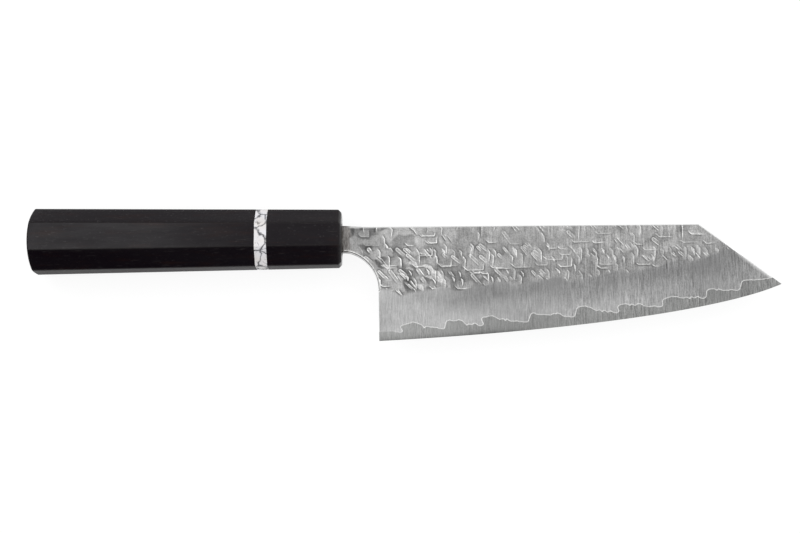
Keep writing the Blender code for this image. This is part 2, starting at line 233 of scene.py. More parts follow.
def thinOut(groups):
    # points from each group in turn, each kept only where it is clear of all kept before
    cell = max(gap for _, gap in groups)
    kept, cells = [], {}
    around = [(i, j) for i in (-1, 0, 1) for j in (-1, 0, 1)]
    for points, gap in groups:
        limit = gap * gap
        for x, y in points.tolist():
            cx, cy = math.floor(x / cell), math.floor(y / cell)
            near = (spot for i, j in around for spot in cells.get((cx + i, cy + j), ()))
            if all((px - x) ** 2 + (py - y) ** 2 >= limit for px, py in near):
                cells.setdefault((cx, cy), []).append((x, y))
                kept.append((x, y))
    return np.array(kept)


def hexGrid(x0, x1, y0, y1, spacing):
    ys = np.arange(y0, y1, spacing * math.sqrt(3) / 2)
    xs = np.arange(x0, x1, spacing)
    rows = [np.column_stack([xs + (i % 2) * spacing / 2, np.full(len(xs), y)]) for i, y in enumerate(ys)]
    return np.vstack(rows)


def offsetRows(line, distances):
    # copies of a line moved sideways, to its left where the distance is positive
    ahead = np.gradient(line, axis=0)
    ahead /= np.maximum(np.hypot(ahead[:, 0], ahead[:, 1]), 1e-9)[:, None]
    sideways = np.column_stack([-ahead[:, 1], ahead[:, 0]])
    return np.vstack([line + sideways * distance for distance in distances])


def triangulate(outline, inner):
    # even triangles inside a closed outline, with the outline's own points first
    count = len(outline)
    points = [Vector(p) for p in np.vstack([outline, inner]).tolist()]
    loop = [(i, (i + 1) % count) for i in range(count)]
    places, _, faces, origins, _, _ = delaunay_2d_cdt(points, loop, [], 1, 1e-7)
    where = {old: new for new, olds in enumerate(origins) for old in olds}
    faces = np.array([list(face) for face in faces], int)
    first = [where[i] for i in range(count)]
    order = np.full(len(places), -1)
    order[first] = np.arange(count)
    rest = [i for i in np.unique(faces).tolist() if order[i] < 0]
    order[rest] = np.arange(count, count + len(rest))
    places = np.array([tuple(place) for place in places])
    return places[first + rest], order[faces]


def bridge(first, second, closed=True):
    # four-sided faces between two rows of as many points
    count = len(first)
    return [
        [first[i], first[(i + 1) % count], second[(i + 1) % count], second[i]]
        for i in range(count if closed else count - 1)
    ]


def turned(faces, side):
    # faces wound the other way round on the blade's left side
    return faces if side > 0 else [face[::-1] for face in faces]


def linkNew(name, data):
    thing = bpy.data.objects.new(name, data)
    bpy.context.scene.collection.objects.link(thing)
    return thing


def writeMask(mesh, label, values):
    layer = mesh.attributes.new(label, "FLOAT", "POINT")
    layer.data.foreach_set("value", np.asarray(values, np.float32))


def makePiece(name, points, faces, material, masks, sharpEdges=()):
    # a smooth mesh from points in millimetres on the knife's own axes
    mesh = bpy.data.meshes.new(name)
    mesh.from_pydata((np.asarray(points) * mm + knifeOrigin).tolist(), [], faces)
    mesh.shade_smooth()
    for label, values in masks.items():
        writeMask(mesh, label, values)
    if sharpEdges:
        wanted = {tuple(sorted(edge)) for edge in sharpEdges}
        ends = np.zeros(len(mesh.edges) * 2, np.int32)
        mesh.edges.foreach_get("vertices", ends)
        ends = np.sort(ends.reshape(-1, 2), axis=1).tolist()
        layer = mesh.attributes.new("sharp_edge", "BOOLEAN", "EDGE")
        layer.data.foreach_set("value", [tuple(pair) in wanted for pair in ends])
    mesh.materials.append(material)
    return linkNew(name, mesh)


# shader building: each helper takes numbers, colours or other nodes' outputs
def feed(socket, value):
    if hasattr(value, "id_data"):
        socket.id_data.links.new(value, socket)
    elif isinstance(value, tuple) and socket.type == "RGBA":
        socket.default_value = (*value, 1.0)
    else:
        socket.default_value = value


def feedAll(node, values):
    for label, value in values.items():
        feed(node.inputs[label], value)


def addNode(tree, kind, values=None, **settings):
    node = tree.nodes.new(kind)
    for label, value in settings.items():
        setattr(node, label, value)
    feedAll(node, values or {})
    return node


def treeOf(*values):
    return next(value.id_data for value in values if hasattr(value, "id_data"))


def newMaterial(name):
    material = bpy.data.materials.new(name)
    material.use_nodes = True
    tree = material.node_tree
    return material, tree, tree.nodes["Principled BSDF"]


def mathNode(operation, a, b, clamp=False):
    settings = {"operation": operation, "use_clamp": clamp}
    return addNode(treeOf(a, b), "ShaderNodeMath", {0: a, 1: b}, **settings).outputs[0]


def plus(a, b):
    return mathNode("ADD", a, b)


def minus(a, b, clamp=False):
    return mathNode("SUBTRACT", a, b, clamp)


def times(a, b, clamp=False):
    return mathNode("MULTIPLY", a, b, clamp)


def larger(a, b, clamp=False):
    return mathNode("MAXIMUM", a, b, clamp)


def centred(noise, gain):
    # a noise swinging round zero
    return times(minus(noise, 0.5), gain)


def mixColour(factor, a, b, blendType="MIX"):
    settings = {"data_type": "RGBA", "blend_type": blendType}
    return addNode(treeOf(factor, a, b), "ShaderNodeMix", {0: factor, 6: a, 7: b}, **settings).outputs[2]


def shaded(colour, shade):
    return mixColour(1.0, colour, shade, "MULTIPLY")


def mapRange(value, fromLow, fromHigh, toLow=0.0, toHigh=1.0):
    values = {"Value": value, "From Min": fromLow, "From Max": fromHigh, "To Min": toLow, "To Max": toHigh}
    return addNode(treeOf(value), "ShaderNodeMapRange", values, clamp=True).outputs[0]


def objectPlace(tree):
    # the object coordinates, from one node in each tree
    node = tree.nodes.get("place") or addNode(tree, "ShaderNodeTexCoord", name="place")
    return node.outputs["Object"]


def splitAxes(vector):
    return addNode(treeOf(vector), "ShaderNodeSeparateXYZ", {0: vector}).outputs


def stretchedNoise(tree, scale, detail, roughness, seed):
    values = {"Vector": objectPlace(tree), "Scale": scale, "Location": (seed, seed * 1.7, seed * 0.6)}
    place = addNode(tree, "ShaderNodeMapping", values)
    values = {"Vector": place.outputs[0], "Scale": 1.0, "Detail": detail, "Roughness": roughness}
    return addNode(tree, "ShaderNodeTexNoise", values).outputs[0]


def noiseSet(tree, table):
    # one noise for each row (scale along x, y and z, detail, roughness, seed)
    return {label: stretchedNoise(tree, *row) for label, row in table.items()}


def meshMask(tree, label):
    return addNode(tree, "ShaderNodeAttribute", attribute_name=label).outputs["Fac"]


def bumpNode(height, distance):
    values = {"Height": height, "Distance": distance, "Strength": 1.0}
    return addNode(treeOf(height), "ShaderNodeBump", values).outputs[0]


def newGroup(name, inputs, outputs):
    group = bpy.data.node_groups.new(name, "ShaderNodeTree")
    for label, value in inputs.items():
        socket = group.interface.new_socket(label, in_out="INPUT", socket_type="NodeSocketFloat")
        socket.default_value = value
    for label in outputs:
        group.interface.new_socket(label, in_out="OUTPUT", socket_type="NodeSocketFloat")
    return group, group.nodes.new("NodeGroupInput").outputs, group.nodes.new("NodeGroupOutput")


def placeGroup(tree, group, values):
    return addNode(tree, "ShaderNodeGroup", values, node_tree=group).outputs


brushLook = {
    "fine": 2.2,
    "broad": 0.24,
    "scratch": 0.42,
    "scratchHeight": 0.6,
    "grit": 0.8,
    "cloud": 2.0,
    "ranges": {
        "scratch": (0.64, 0.76),
        "press": (0.35, 0.65, 0.55, 1.2),
        "pointward": (0.0, 0.12, 0.9, 2.05),
    },
    "noises": {
        "fine": ((2700.0, 140.0, 2700.0), 3.0, 0.75, 3.0),
        "broad": ((700.0, 40.0, 700.0), 2.0, 0.5, 11.0),
        "scratch": ((1900.0, 110.0, 1900.0), 1.0, 0.5, 23.0),
        "cloud": ((70.0, 130.0, 60.0), 3.0, 0.5, 7.0),
        "press": ((75.0, 30.0, 75.0), 2.0, 0.5, 29.0),
        "grit": ((2100.0, 1300.0, 2100.0), 2.0, 0.6, 37.0),
    },
}


def buildBrushGroup():
    # fine lines across the blade, from the spine to the edge, as a value round 1 and a height
    group, given, out = newGroup("brushLines", {"Strength": 0.1, "Cloud": 0.08}, ("Shade", "Height"))
    noise, ranges = noiseSet(group, brushLook["noises"]), brushLook["ranges"]
    scratch = mapRange(noise["scratch"], *ranges["scratch"])
    lines = plus(centred(noise["fine"], brushLook["fine"]), centred(noise["broad"], brushLook["broad"]))
    lines = plus(lines, times(scratch, brushLook["scratch"]))
    lines = plus(lines, centred(noise["grit"], brushLook["grit"]))
    lines = times(lines, mapRange(noise["press"], *ranges["press"]))
    lines = times(lines, mapRange(splitAxes(objectPlace(group))["X"], *ranges["pointward"]))
    lines = times(lines, given["Strength"])
    cloud = times(centred(noise["cloud"], brushLook["cloud"]), given["Cloud"])
    height = plus(noise["fine"], times(scratch, brushLook["scratchHeight"]))
    feedAll(out, {"Shade": plus(plus(lines, cloud), 1.0), "Height": height})
    return group


highlightBreakupNoise = ((760.0, 760.0, 760.0), 3.0, 0.6, 53.0)


def buildHighlightBreakupGroup():
    # a noise that fades the painted highlights of the marks and of the weld line in places
    group, given, out = newGroup("highlightBreakup", {"Faintest": 0.5}, ("Breakup", "Line"))
    breakup = stretchedNoise(group, *highlightBreakupNoise)
    feedAll(out, {"Breakup": breakup, "Line": mapRange(breakup, 0.3, 0.6, given["Faintest"], 1.0)})
    return group


grainLook = {
    "broad": 0.65,
    "fibre": 0.35,
    "fibreHeight": 0.5,
    "pore": (0.68, 0.8),
    "noises": {
        "broad": ((14.0, 260.0, 260.0), 4.0, 0.6, 5.0),
        "fibre": ((60.0, 1900.0, 1900.0), 3.0, 0.6, 9.0),
        "dashes": ((190.0, 3000.0, 3000.0), 1.0, 0.5, 17.0),
    },
}


def buildGrainGroup():
    # wood fibre along the handle: a streak value, pore marks and a height
    group, given, out = newGroup("woodGrain", {"Pores": 1.0}, ("Streak", "Pore", "Height"))
    noise = noiseSet(group, grainLook["noises"])
    streak = plus(times(noise["broad"], grainLook["broad"]), times(noise["fibre"], grainLook["fibre"]))
    pore = times(mapRange(noise["dashes"], *grainLook["pore"]), given["Pores"])
    height = minus(times(noise["fibre"], grainLook["fibreHeight"]), pore)
    feedAll(out, {"Streak": streak, "Pore": pore, "Height": height})
    return group


brushGroup = buildBrushGroup()
highlightBreakupGroup = buildHighlightBreakupGroup()
grainGroup = buildGrainGroup()

steelLook = {
    "hammered": (0.325, 0.324, 0.322),
    "ground": (0.362, 0.362, 0.362),
    # a painted highlight along the marks' crests, the choil's rounded edge and the neck's bright line
    "ridgeHighlight": (0.94, 0.94, 0.93),
    # a painted shade line beside each mark's crest and inside the choil's highlight
    "shadeLine": (0.10, 0.10, 0.10),
    "neckLight": (0.29, 0.278, 0.27),
    "neckDark": (0.088, 0.080, 0.074),
    # the rounded borders' polish, drawn pale as a painted highlight; their roughness is lowered as well
    "polish": (0.80, 0.80, 0.80),
    # the weld line, drawn pale as a painted highlight along the cladding's lip
    "line": (0.93, 0.93, 0.92),
    "core": (0.305, 0.307, 0.303),
    "faintest": 0.62,
    "ragged": 1.8,
    "brushOnForged": 0.85,
    "shadeLineShare": 0.8,
    "smearEdge": 1.1,
    "ridgeSmooth": 0.14,
    "polishSmooth": 0.1,
    "brushHeight": 0.25,
    "brushBump": 0.000004,
    "pitBump": 0.00002,
    "noises": {
        "mottle": ((420.0, 420.0, 420.0), 5.0, 0.65, 2.0),
        "speckle": ((1900.0, 1900.0, 1900.0), 3.0, 0.65, 31.0),
        "rags": ((900.0, 210.0, 900.0), 3.0, 0.6, 41.0),
        "smear": ((1500.0, 330.0, 1500.0), 3.0, 0.6, 47.0),
    },
    "ranges": {
        "ridgeBreakup": (0.36, 0.6, 0.42, 1.08),
        "ground": (0.34, 0.66),
        "mottle": (0.25, 0.75, 0.87, 1.13),
        "speckle": (0.3, 0.7, -0.25, 0.25),
        "smear": (0.35, 0.65),
        "stain": (0.2, 0.85),
        "roughness": (0.3, 0.7, 0.34, 0.44),
        "coreRoughness": (0.8, 1.2, 0.36, 0.28),
    },
}


def buildCladdingSteel():
    material, tree, shader = newMaterial("hammeredCladding")
    labels = ("ridgeHighlight", "shadeLine", "ground", "tone", "polish", "line", "stain")
    ridgeHighlight, shadeLine, ground, tone, polish, line, stain = (meshMask(tree, label) for label in labels)
    noise, ranges = noiseSet(tree, steelLook["noises"]), steelLook["ranges"]
    brush = placeGroup(tree, brushGroup, {"Strength": 0.55, "Cloud": 0.22})
    breakup = placeGroup(tree, highlightBreakupGroup, {"Faintest": steelLook["faintest"]})
    ridgeHighlight = times(ridgeHighlight, mapRange(breakup["Breakup"], *ranges["ridgeBreakup"]), clamp=True)
    ground = mapRange(plus(ground, centred(noise["rags"], steelLook["ragged"])), *ranges["ground"])
    forge = plus(mapRange(noise["mottle"], *ranges["mottle"]), mapRange(noise["speckle"], *ranges["speckle"]))
    forge = plus(forge, times(minus(brush["Shade"], 1.0), steelLook["brushOnForged"]))
    forged = shaded(steelLook["hammered"], forge)
    brushed = shaded(steelLook["ground"], brush["Shade"])
    colour = shaded(mixColour(ground, forged, brushed), plus(tone, 1.0))
    # painted shade line beside the crests and along the choil
    colour = mixColour(times(shadeLine, steelLook["shadeLineShare"]), colour, steelLook["shadeLine"])
    smear = mapRange(noise["smear"], *ranges["smear"])
    stained = mixColour(smear, steelLook["neckDark"], steelLook["neckLight"])
    stainEdge = plus(stain, centred(noise["smear"], steelLook["smearEdge"]))
    colour = mixColour(mapRange(stainEdge, *ranges["stain"]), colour, stained)
    # painted highlight on the rounded borders and down the tip's slope
    colour = mixColour(polish, colour, steelLook["polish"])
    # painted highlight along the crests and the choil
    colour = mixColour(ridgeHighlight, colour, steelLook["ridgeHighlight"])
    # the weld line's painted highlight, made fainter in places by noise
    colour = mixColour(times(line, breakup["Line"]), colour, steelLook["line"])
    rough = minus(mapRange(noise["mottle"], *ranges["roughness"]), times(ridgeHighlight, steelLook["ridgeSmooth"]))
    rough = minus(rough, times(polish, steelLook["polishSmooth"]), clamp=True)
    pits = times(minus(1.0, ground), noise["speckle"])
    lines = times(times(ground, brush["Height"]), steelLook["brushHeight"])
    normal = bumpNode(plus(pits, lines), steelLook["pitBump"])
    feedAll(shader, {"Base Color": colour, "Metallic": 1.0, "Roughness": rough, "Normal": normal})
    return material


def buildCoreSteel():
    material, tree, shader = newMaterial("coreSteel")
    brush = placeGroup(tree, brushGroup, {"Strength": 0.6, "Cloud": 0.08})
    breakup = placeGroup(tree, highlightBreakupGroup, {"Faintest": steelLook["faintest"]})
    colour = shaded(steelLook["core"], brush["Shade"])
    colour = shaded(colour, plus(meshMask(tree, "tone"), 1.0))
    # the weld line's painted highlight, made fainter in places by noise
    colour = mixColour(times(meshMask(tree, "line"), breakup["Line"]), colour, steelLook["line"])
    rough = mapRange(brush["Shade"], *steelLook["ranges"]["coreRoughness"])
    normal = bumpNode(brush["Height"], steelLook["brushBump"])
    feedAll(shader, {"Base Color": colour, "Metallic": 1.0, "Roughness": rough, "Normal": normal})
    return material


claddingSteel = buildCladdingSteel()
coreSteel = buildCoreSteel()

# the wavy weld line: where it steps up, as a share of the blade, and each step's own scale
lamination = {
    "low": 3.1,
    "high": 5.9,
    "heelEnd": 3.8,
    "pointEnd": 4.1,
    "overhang": 0.95,
    "runIn": 4.6,
    "runSpacing": 2.2,
    "runJumps": (-0.85, -0.4, 0.0, 0.4, 0.85),
    "endSpacing": 2.6,
    "spacing": 0.25,
    "wiggle": 0.14,
    "wiggleLengths": (1.9, 3.1, 5.3),
    "right": (
        (0.055, 1.0), (0.160, 1.12), (0.255, 1.16), (0.367, 1.10), (0.482, 1.15),
        (0.591, 1.0), (0.700, 0.96), (0.809, 1.05), (0.894, 1.08),
    ),
    "left": (
        (0.073, 1.04), (0.188, 1.08), (0.303, 0.95), (0.403, 1.17), (0.533, 1.05),
        (0.630, 1.12), (0.752, 0.96), (0.855, 1.05),
    ),
}


def heelLineX(y):
    top = neckLow - blade["choilDepth"]
    share = (top - y) / (top + blade["heelDepth"])
    return heelX - blade["heelRake"] * (1 - share)


def pointMeeting(height):
    # where the tip's slope stands a given height above the edge
    xs = np.linspace(pointX, tipX, 2000)
    over = pointY(xs) - edgeY(xs)
    x = float(np.interp(height, over[::-1], xs[::-1]))
    return np.array([x, float(pointY(x))])


heelMeetingY = float(edgeY(heelX)) + lamination["heelEnd"]
heelMeeting = np.array([heelLineX(heelMeetingY), heelMeetingY])
tipMeeting = pointMeeting(lamination["pointEnd"])


def laminationLine(side, seed):
    # the weld line from the heel to the tip's slope: level runs, small bites, dips and hooked steps
    rng = random.Random(seed)
    path = [(heelMeeting[0], lamination["heelEnd"])]
    for share, scale in lamination[side]:
        x = heelX + share * blade["length"]
        low, high = lamination["low"] * scale, lamination["high"] * scale
        startX, startHeight = path[-1]
        gap = x - lamination["runIn"] - startX
        biteAt = rng.randint(1, 4)
        for k in range(1, int(gap / lamination["runSpacing"])):
            fall = k * lamination["runSpacing"] / gap
            height = startHeight + (low + 0.9 - startHeight) * fall**1.5
            height += rng.choice(lamination["runJumps"]) + rng.uniform(-0.15, 0.15)
            at = startX + gap * fall
            path.append((at, height))
            if k == biteAt and startX > heelX + 1:
                path += [(at + 0.55, height - rng.uniform(0.6, 1.3)), (at + 1.0, height + 0.1)]
        dip = max(rng.uniform(-0.3, 0.9), 0.0)
        lean = rng.uniform(-1.4, 1.0) * lamination["overhang"]
        path += [
            (x - 4.4, low + 0.6),
            (x - 3.2, low + 0.5 + dip),
            (x - 1.9, low + 0.1),
            (x - 0.7, low - 0.15),
            (x + 0.3, low + 0.1),
            (x + 0.4, low + (high - low) * 0.25),
            (x + 0.1 - lean * 0.6, low + (high - low) * 0.6),
            (x + 0.15 - lean * 0.75, high - 0.3),
            (x + 0.8 - lean * 0.5, high),
            (x + 2.2, high + rng.uniform(0.1, 0.6)),
        ]
    startX, startHeight = path[-1]
    gap = tipMeeting[0] - startX
    count = max(int(gap / lamination["endSpacing"]), 1)
    for k in range(1, count):
        rise = k / count
        height = startHeight + (lamination["pointEnd"] - startHeight) * rise + rng.uniform(-0.25, 0.25)
        path.append((startX + gap * rise, height))
    path = cutCorners(path)
    line = np.column_stack([path[:, 0], edgeY(path[:, 0]) + path[:, 1]])
    line = resample(np.vstack([line, tipMeeting]), lamination["spacing"])
    steps = np.arange(len(line))
    wave = np.zeros(len(line))
    for length in lamination["wiggleLengths"]:
        wave += np.sin(steps * lamination["spacing"] * 2 * math.pi / length + rng.uniform(0, 6.28))
    fade = np.minimum(steps, steps[::-1]) / 8.0
    line[:, 1] += wave / 3 * lamination["wiggle"] * np.clip(fade, 0, 1)
    line[0], line[-1] = heelMeeting, tipMeeting
    return line


# the outline in runs, anticlockwise from the tang's far end
outlineStep = blade["outlineSpacing"]
inside = -blade["neckInside"]
tangEnd = blade["tangEndHeight"] / 2
tangRoot = blade["tangRootHeight"] / 2
choilTop = np.array([blade["choilStart"], neckLow])
choilEnd = np.array([heelX - blade["heelRake"], neckLow - blade["choilDepth"]])
choilCurve = curvePoints(
    choilTop,
    choilTop + (blade["choilNeckHandle"], 0.0),
    choilEnd + (0.0, blade["choilHeelHandle"]),
    choilEnd,
    60,
)
spineCorner = np.array([pointX, float(spineY(pointX))])
neckCorner = np.array([blade["neckSlopeLength"], blade["spineHeight"]])
tangBelow = resample([(tangBack, tangEnd), (tangBack, -tangEnd), (inside, -tangRoot)], blade["tangSpacing"])
tangBelow[0] = (tangBack, tangEnd)
neckBelow = joinRuns(
    np.array([(inside, -tangRoot), (inside, neckLow)]),
    resample([(inside, neckLow), choilTop], blade["neckSpacing"]),
)
choilRun = resample(choilCurve, outlineStep)
heelUpper = resample([choilEnd, heelMeeting], outlineStep)
heelLower = resample([heelMeeting, edgeLine[0]], outlineStep)
edgeRun = resample(edgeLine, blade["edgeSpacing"])
pointLower = resample([edgeLine[-1], tipMeeting], outlineStep)
pointUpper = resample([tipMeeting, spineCorner], outlineStep)
spineRun = resample([spineCorner, neckCorner], outlineStep)
neckAbove = resample([neckCorner, (0.0, neckTop)], outlineStep)
tangAbove = joinRuns(
    np.array([(0.0, neckTop), (inside, neckTop), (inside, tangRoot)]),
    resample([(inside, tangRoot), (tangBack, tangEnd)], blade["tangSpacing"]),
)
rearRun = joinRuns(tangBelow, neckBelow, choilRun, heelUpper)
frontRun = joinRuns(pointUpper, spineRun, neckAbove, tangAbove)[:-1]
lowRun = joinRuns(heelLower, edgeRun, pointLower)
hiddenGrid = hexGrid(tangBack, tipX, blade["gridLow"], blade["gridHigh"], blade["hiddenSpacing"])

# borders whose edge is eased, each with the radius at its ends
easing = {
    "neckBelow": 0.5,
    "choil": 0.55,
    "heel": 0.12,
    "slope": 0.32,
    "spineFront": 0.4,
    "spineMiddle": 0.5,
    "spineNeck": 0.85,
}
middleX = (heelX + pointX) / 2
easedLine = np.vstack([[(inside, neckLow)], resample(choilCurve, 0.8), [heelMeeting]])
easedRadii = np.full(len(easedLine), easing["choil"])
easedRadii[0] = easing["neckBelow"]
easedRadii[-2:] = easing["heel"]
topLine = np.array([
    tipMeeting,
    spineCorner,
    (middleX, float(spineY(middleX))),
    neckCorner,
    (inside, neckTop),
])
topLabels = ("slope", "spineFront", "spineMiddle", "spineNeck", "spineNeck")
topRadii = np.array([easing[label] for label in topLabels])

# hammer marks: a made-up layout for each side, of the size and kind that a textured hammer leaves; a mark's
# shine is painted light on its pressed side, a painted highlight above zero and a painted shade below it
hammer = {
    "rows": (
        (0.0, "spine"), (3.2, "loose"), (6.7, "ticks"), (9.3, "mixed"), (12.3, "mixed"),
        (16.3, "ticks"), (18.6, "mixed"), (21.4, "mixed"), (24.6, "ticks"), (26.4, "mixed"),
    ),
    "steps": {"spine": (4.2, 10.5), "loose": (8.0, 16.0), "ticks": (6.3, 12.0), "mixed": (2.5, 4.9)},
    "weights": {
        "spine": (0.0, 0.12, 0.0, 0.0, 0.48, 0.40),
        "loose": (0.30, 0.14, 0.24, 0.08, 0.24, 0.0),
        "ticks": (0.68, 0.05, 0.07, 0.14, 0.06, 0.0),
        "mixed": (0.08, 0.28, 0.17, 0.27, 0.20, 0.0),
    },
    "rowJitter": 0.8,
    "firstX": 5.2,
    "plainNeck": 8.6,
    "plainShare": 0.3,
    "strength": 0.74,
    "pathSpacing": 0.3,
    "ridgeWidth": 0.145,
    "ridgeHeight": 0.05,
    "shadeLineAway": 0.38,
    "shadeLineWidth": 0.16,
    "shadowWidth": 1.1,
    "depth": 0.13,
    "border": 19.8,
    "ragged": 1.7,
    "heelPatches": 10,
    "scuffTone": 0.2,
    "swellTone": 0.1,
    "swellHeight": 0.03,
    "swellLengths": (9.0, 13.0, 19.0, 6.4),
    "scuffLengths": (5.6, 7.7, 4.3),
    "raggedLengths": (23.0, 11.0, 6.1, 3.7),
    "heelward": (22.0, 62.0),
    "reliefFrom": (3.6, 6.5),
    "marksFrom": (3.6, 5.5),
    "stainUntil": (1.6, 5.4),
    "neckDuskUntil": (8.0, 23.0),
    "neckDusk": 0.5,
    "patchSize": (5.4, 4.3),
    "patchTone": 0.15,
    "patchTilt": 0.012,
}


def tickMark(rng):
    # a short slanting run, then a level one: the corner of a pressed tile
    slant = rng.uniform(0.9, 1.9)
    level = rng.uniform(2.6, 6.6)
    path = [(0.0, 0.0), (slant, -slant * rng.uniform(0.7, 1.0))]
    path.append((slant + level, path[1][1] + rng.uniform(-0.1, 0.3)))
    if rng.random() < 0.3:
        path.append((path[-1][0] + rng.uniform(0.0, 0.4), path[-1][1] + rng.uniform(0.7, 4.5)))
    return {"path": path, "side": 1, "reach": rng.uniform(2.2, 4.6), "shine": rng.uniform(-0.08, 0.2)}


def hookMark(rng):
    # a short slanting run, then straight down
    slant = rng.uniform(0.6, 1.5)
    drop = rng.uniform(2.4, 5.0)
    path = [(0.0, 0.0), (slant, -slant * rng.uniform(0.9, 1.6))]
    path.append((slant + rng.uniform(-0.5, 0.2), path[1][1] - drop))
    return {"path": path, "side": -1, "reach": rng.uniform(0.7, 1.6), "shine": rng.uniform(0.0, 0.35)}


def slotMark(rng):
    # a long narrow slanting pit with a round upper end
    length = rng.uniform(2.2, 6.0)
    width = rng.uniform(0.75, 1.3)
    angle = -math.radians(rng.uniform(38, 56))
    ahead = np.array([math.cos(angle), math.sin(angle)])
    across = np.array([-ahead[1], ahead[0]])
    path = [ahead * length * rng.uniform(0.6, 1.0) - across * width / 2]
    for turn in np.linspace(-0.5, 0.5, 7) * math.pi:
        path.append(across * width * math.sin(turn) / 2 - ahead * width * math.cos(turn) / 2)
    path.append(ahead * length * rng.uniform(0.6, 1.0) + across * width / 2)
    return {"path": path, "side": -1, "reach": width * 0.7, "shine": rng.uniform(-0.05, 0.22)}


def chipMark(rng):
    # a small facet with straight sides, filled with a painted highlight that is brightest along its right
    # edge
    wide = rng.uniform(0.9, 1.8)
    tall = rng.uniform(2.0, 4.6)
    path = [(0.0, 0.0), (wide, -wide * rng.uniform(0.8, 1.3)), (wide + rng.uniform(-0.3, 0.1), -tall)]
    return {"path": path, "side": -1, "reach": wide, "shine": rng.uniform(0.35, 0.8), "filled": True}


def strokeMark(rng):
    # one straight slanting scratch of a group
    length = rng.uniform(1.2, 4.2)
    angle = -math.radians(rng.uniform(40, 60))
    path = [(0.0, 0.0), (math.cos(angle) * length, math.sin(angle) * length)]
    return {"path": path, "side": rng.choice((1, -1)), "reach": 0.7, "shine": rng.uniform(0.0, 0.2)}


def dropMark(rng):
    # a nearly upright line from the spine
    drop = rng.uniform(2.2, 7.0)
    bend = rng.uniform(-0.9, 0.9)
    path = [(0.0, 1.0), (bend, -drop * rng.uniform(0.3, 0.6)), (bend + rng.uniform(-0.6, 0.3), -drop)]
    side = rng.choice((1, -1))
    return {"path": path, "side": side, "reach": rng.uniform(1.2, 3.4), "shine": rng.uniform(-0.08, 0.14)}


def lensPatch(rng):
    # a broad scoop between two curves, as the hammer's rim leaves, filled with a painted highlight
    wide = rng.uniform(3.8, 7.2)
    tall = wide * rng.uniform(0.35, 0.6)
    turn = math.radians(rng.uniform(-38, -12))
    path = []
    for share in np.linspace(0, 1, 9):
        x, y = wide * share, tall * math.sin(share * math.pi) * 0.7
        path.append((x * math.cos(turn) - y * math.sin(turn), x * math.sin(turn) + y * math.cos(turn)))
    shine = rng.uniform(0.35, 0.8)
    return {"path": path, "side": -1, "reach": tall, "shine": shine, "filled": True, "faint": True}


def insideLoop(points, loop):
    # true for each point inside a closed line
    x, y = points.T
    inner = np.zeros(len(points), bool)
    for a, b in zip(loop, np.roll(loop, -1, axis=0)):
        if a[1] != b[1]:
            crosses = (a[1] > y) != (b[1] > y)
            inner ^= crosses & (x < (b[0] - a[0]) * (y - a[1]) / (b[1] - a[1]) + a[0])
    return inner


def placeMark(rng, mark, x, y):
    size = rng.uniform(0.72, 1.15)
    path = resample(np.array(mark["path"], float) * size, hammer["pathSpacing"]) + (x, y)
    mark.update(path=path, reach=mark["reach"] * size, depth=rng.uniform(0.5, 1.15))
    mark["width"] = hammer["ridgeWidth"] * rng.uniform(0.7, 1.2)
    # the strength of each mark's painted highlight, shade line and shadow, higher toward the heel
    strength = hammer["strength"] + 0.3 * (x < 66) + 0.22 * (x < 40)
    if x < hammer["plainNeck"]:
        strength *= hammer["plainShare"]
        mark["shine"] *= hammer["plainShare"]
        mark["depth"] *= hammer["plainShare"]
    glint = rng.uniform(0.1, 0.35) if mark.get("faint") else rng.uniform(0.45, 1.2) ** 0.8
    mark["bright"] = strength * glint
    return mark


def keptMark(mark):
    # only marks that start on the blade and above the ground bevel
    x, y = mark["path"][0]
    return y - float(edgeY(x)) > hammer["border"] + 0.4 and y < float(pointY(x)) + 1.0


def hammerMarks(seed):
    rng = random.Random(seed)
    marks = []
    makers = (tickMark, hookMark, slotMark, chipMark, strokeMark, dropMark)
    for depth, kind in hammer["rows"]:
        x = hammer["firstX"] + rng.uniform(0.0, 4.0)
        while x < tipX:
            y = float(spineY(x)) - depth + rng.uniform(-1, 1) * hammer["rowJitter"] * (depth > 0)
            maker = rng.choices(makers, hammer["weights"][kind])[0]
            count = rng.randint(2, 3) if maker is strokeMark else 1
            if maker in (tickMark, slotMark) and rng.random() < 0.22:
                count = 2
            for k in range(count):
                gap = rng.uniform(0.75, 1.1) * k
                marks.append(placeMark(rng, maker(rng), x + gap, y + gap * rng.uniform(-0.2, 0.9)))
            x += rng.uniform(*hammer["steps"][kind])
    for _ in range(hammer["heelPatches"]):
        x = rng.uniform(heelX - 2, heelX + 36)
        over = rng.uniform(hammer["border"] + 1.5, hammer["border"] + 13)
        marks.append(placeMark(rng, lensPatch(rng), x, float(edgeY(x)) + over))
    return [mark for mark in marks if keptMark(mark)]


def waves(x, y, seed, lengths):
    # a soft random swell
    rng = random.Random(seed)
    total = np.zeros(len(x))
    for length in lengths:
        angle, shift = rng.uniform(0, math.pi), rng.uniform(0, 6.28)
        total += np.sin((x * math.cos(angle) + y * math.sin(angle)) * 2 * math.pi / length + shift)
    return total / len(lengths)


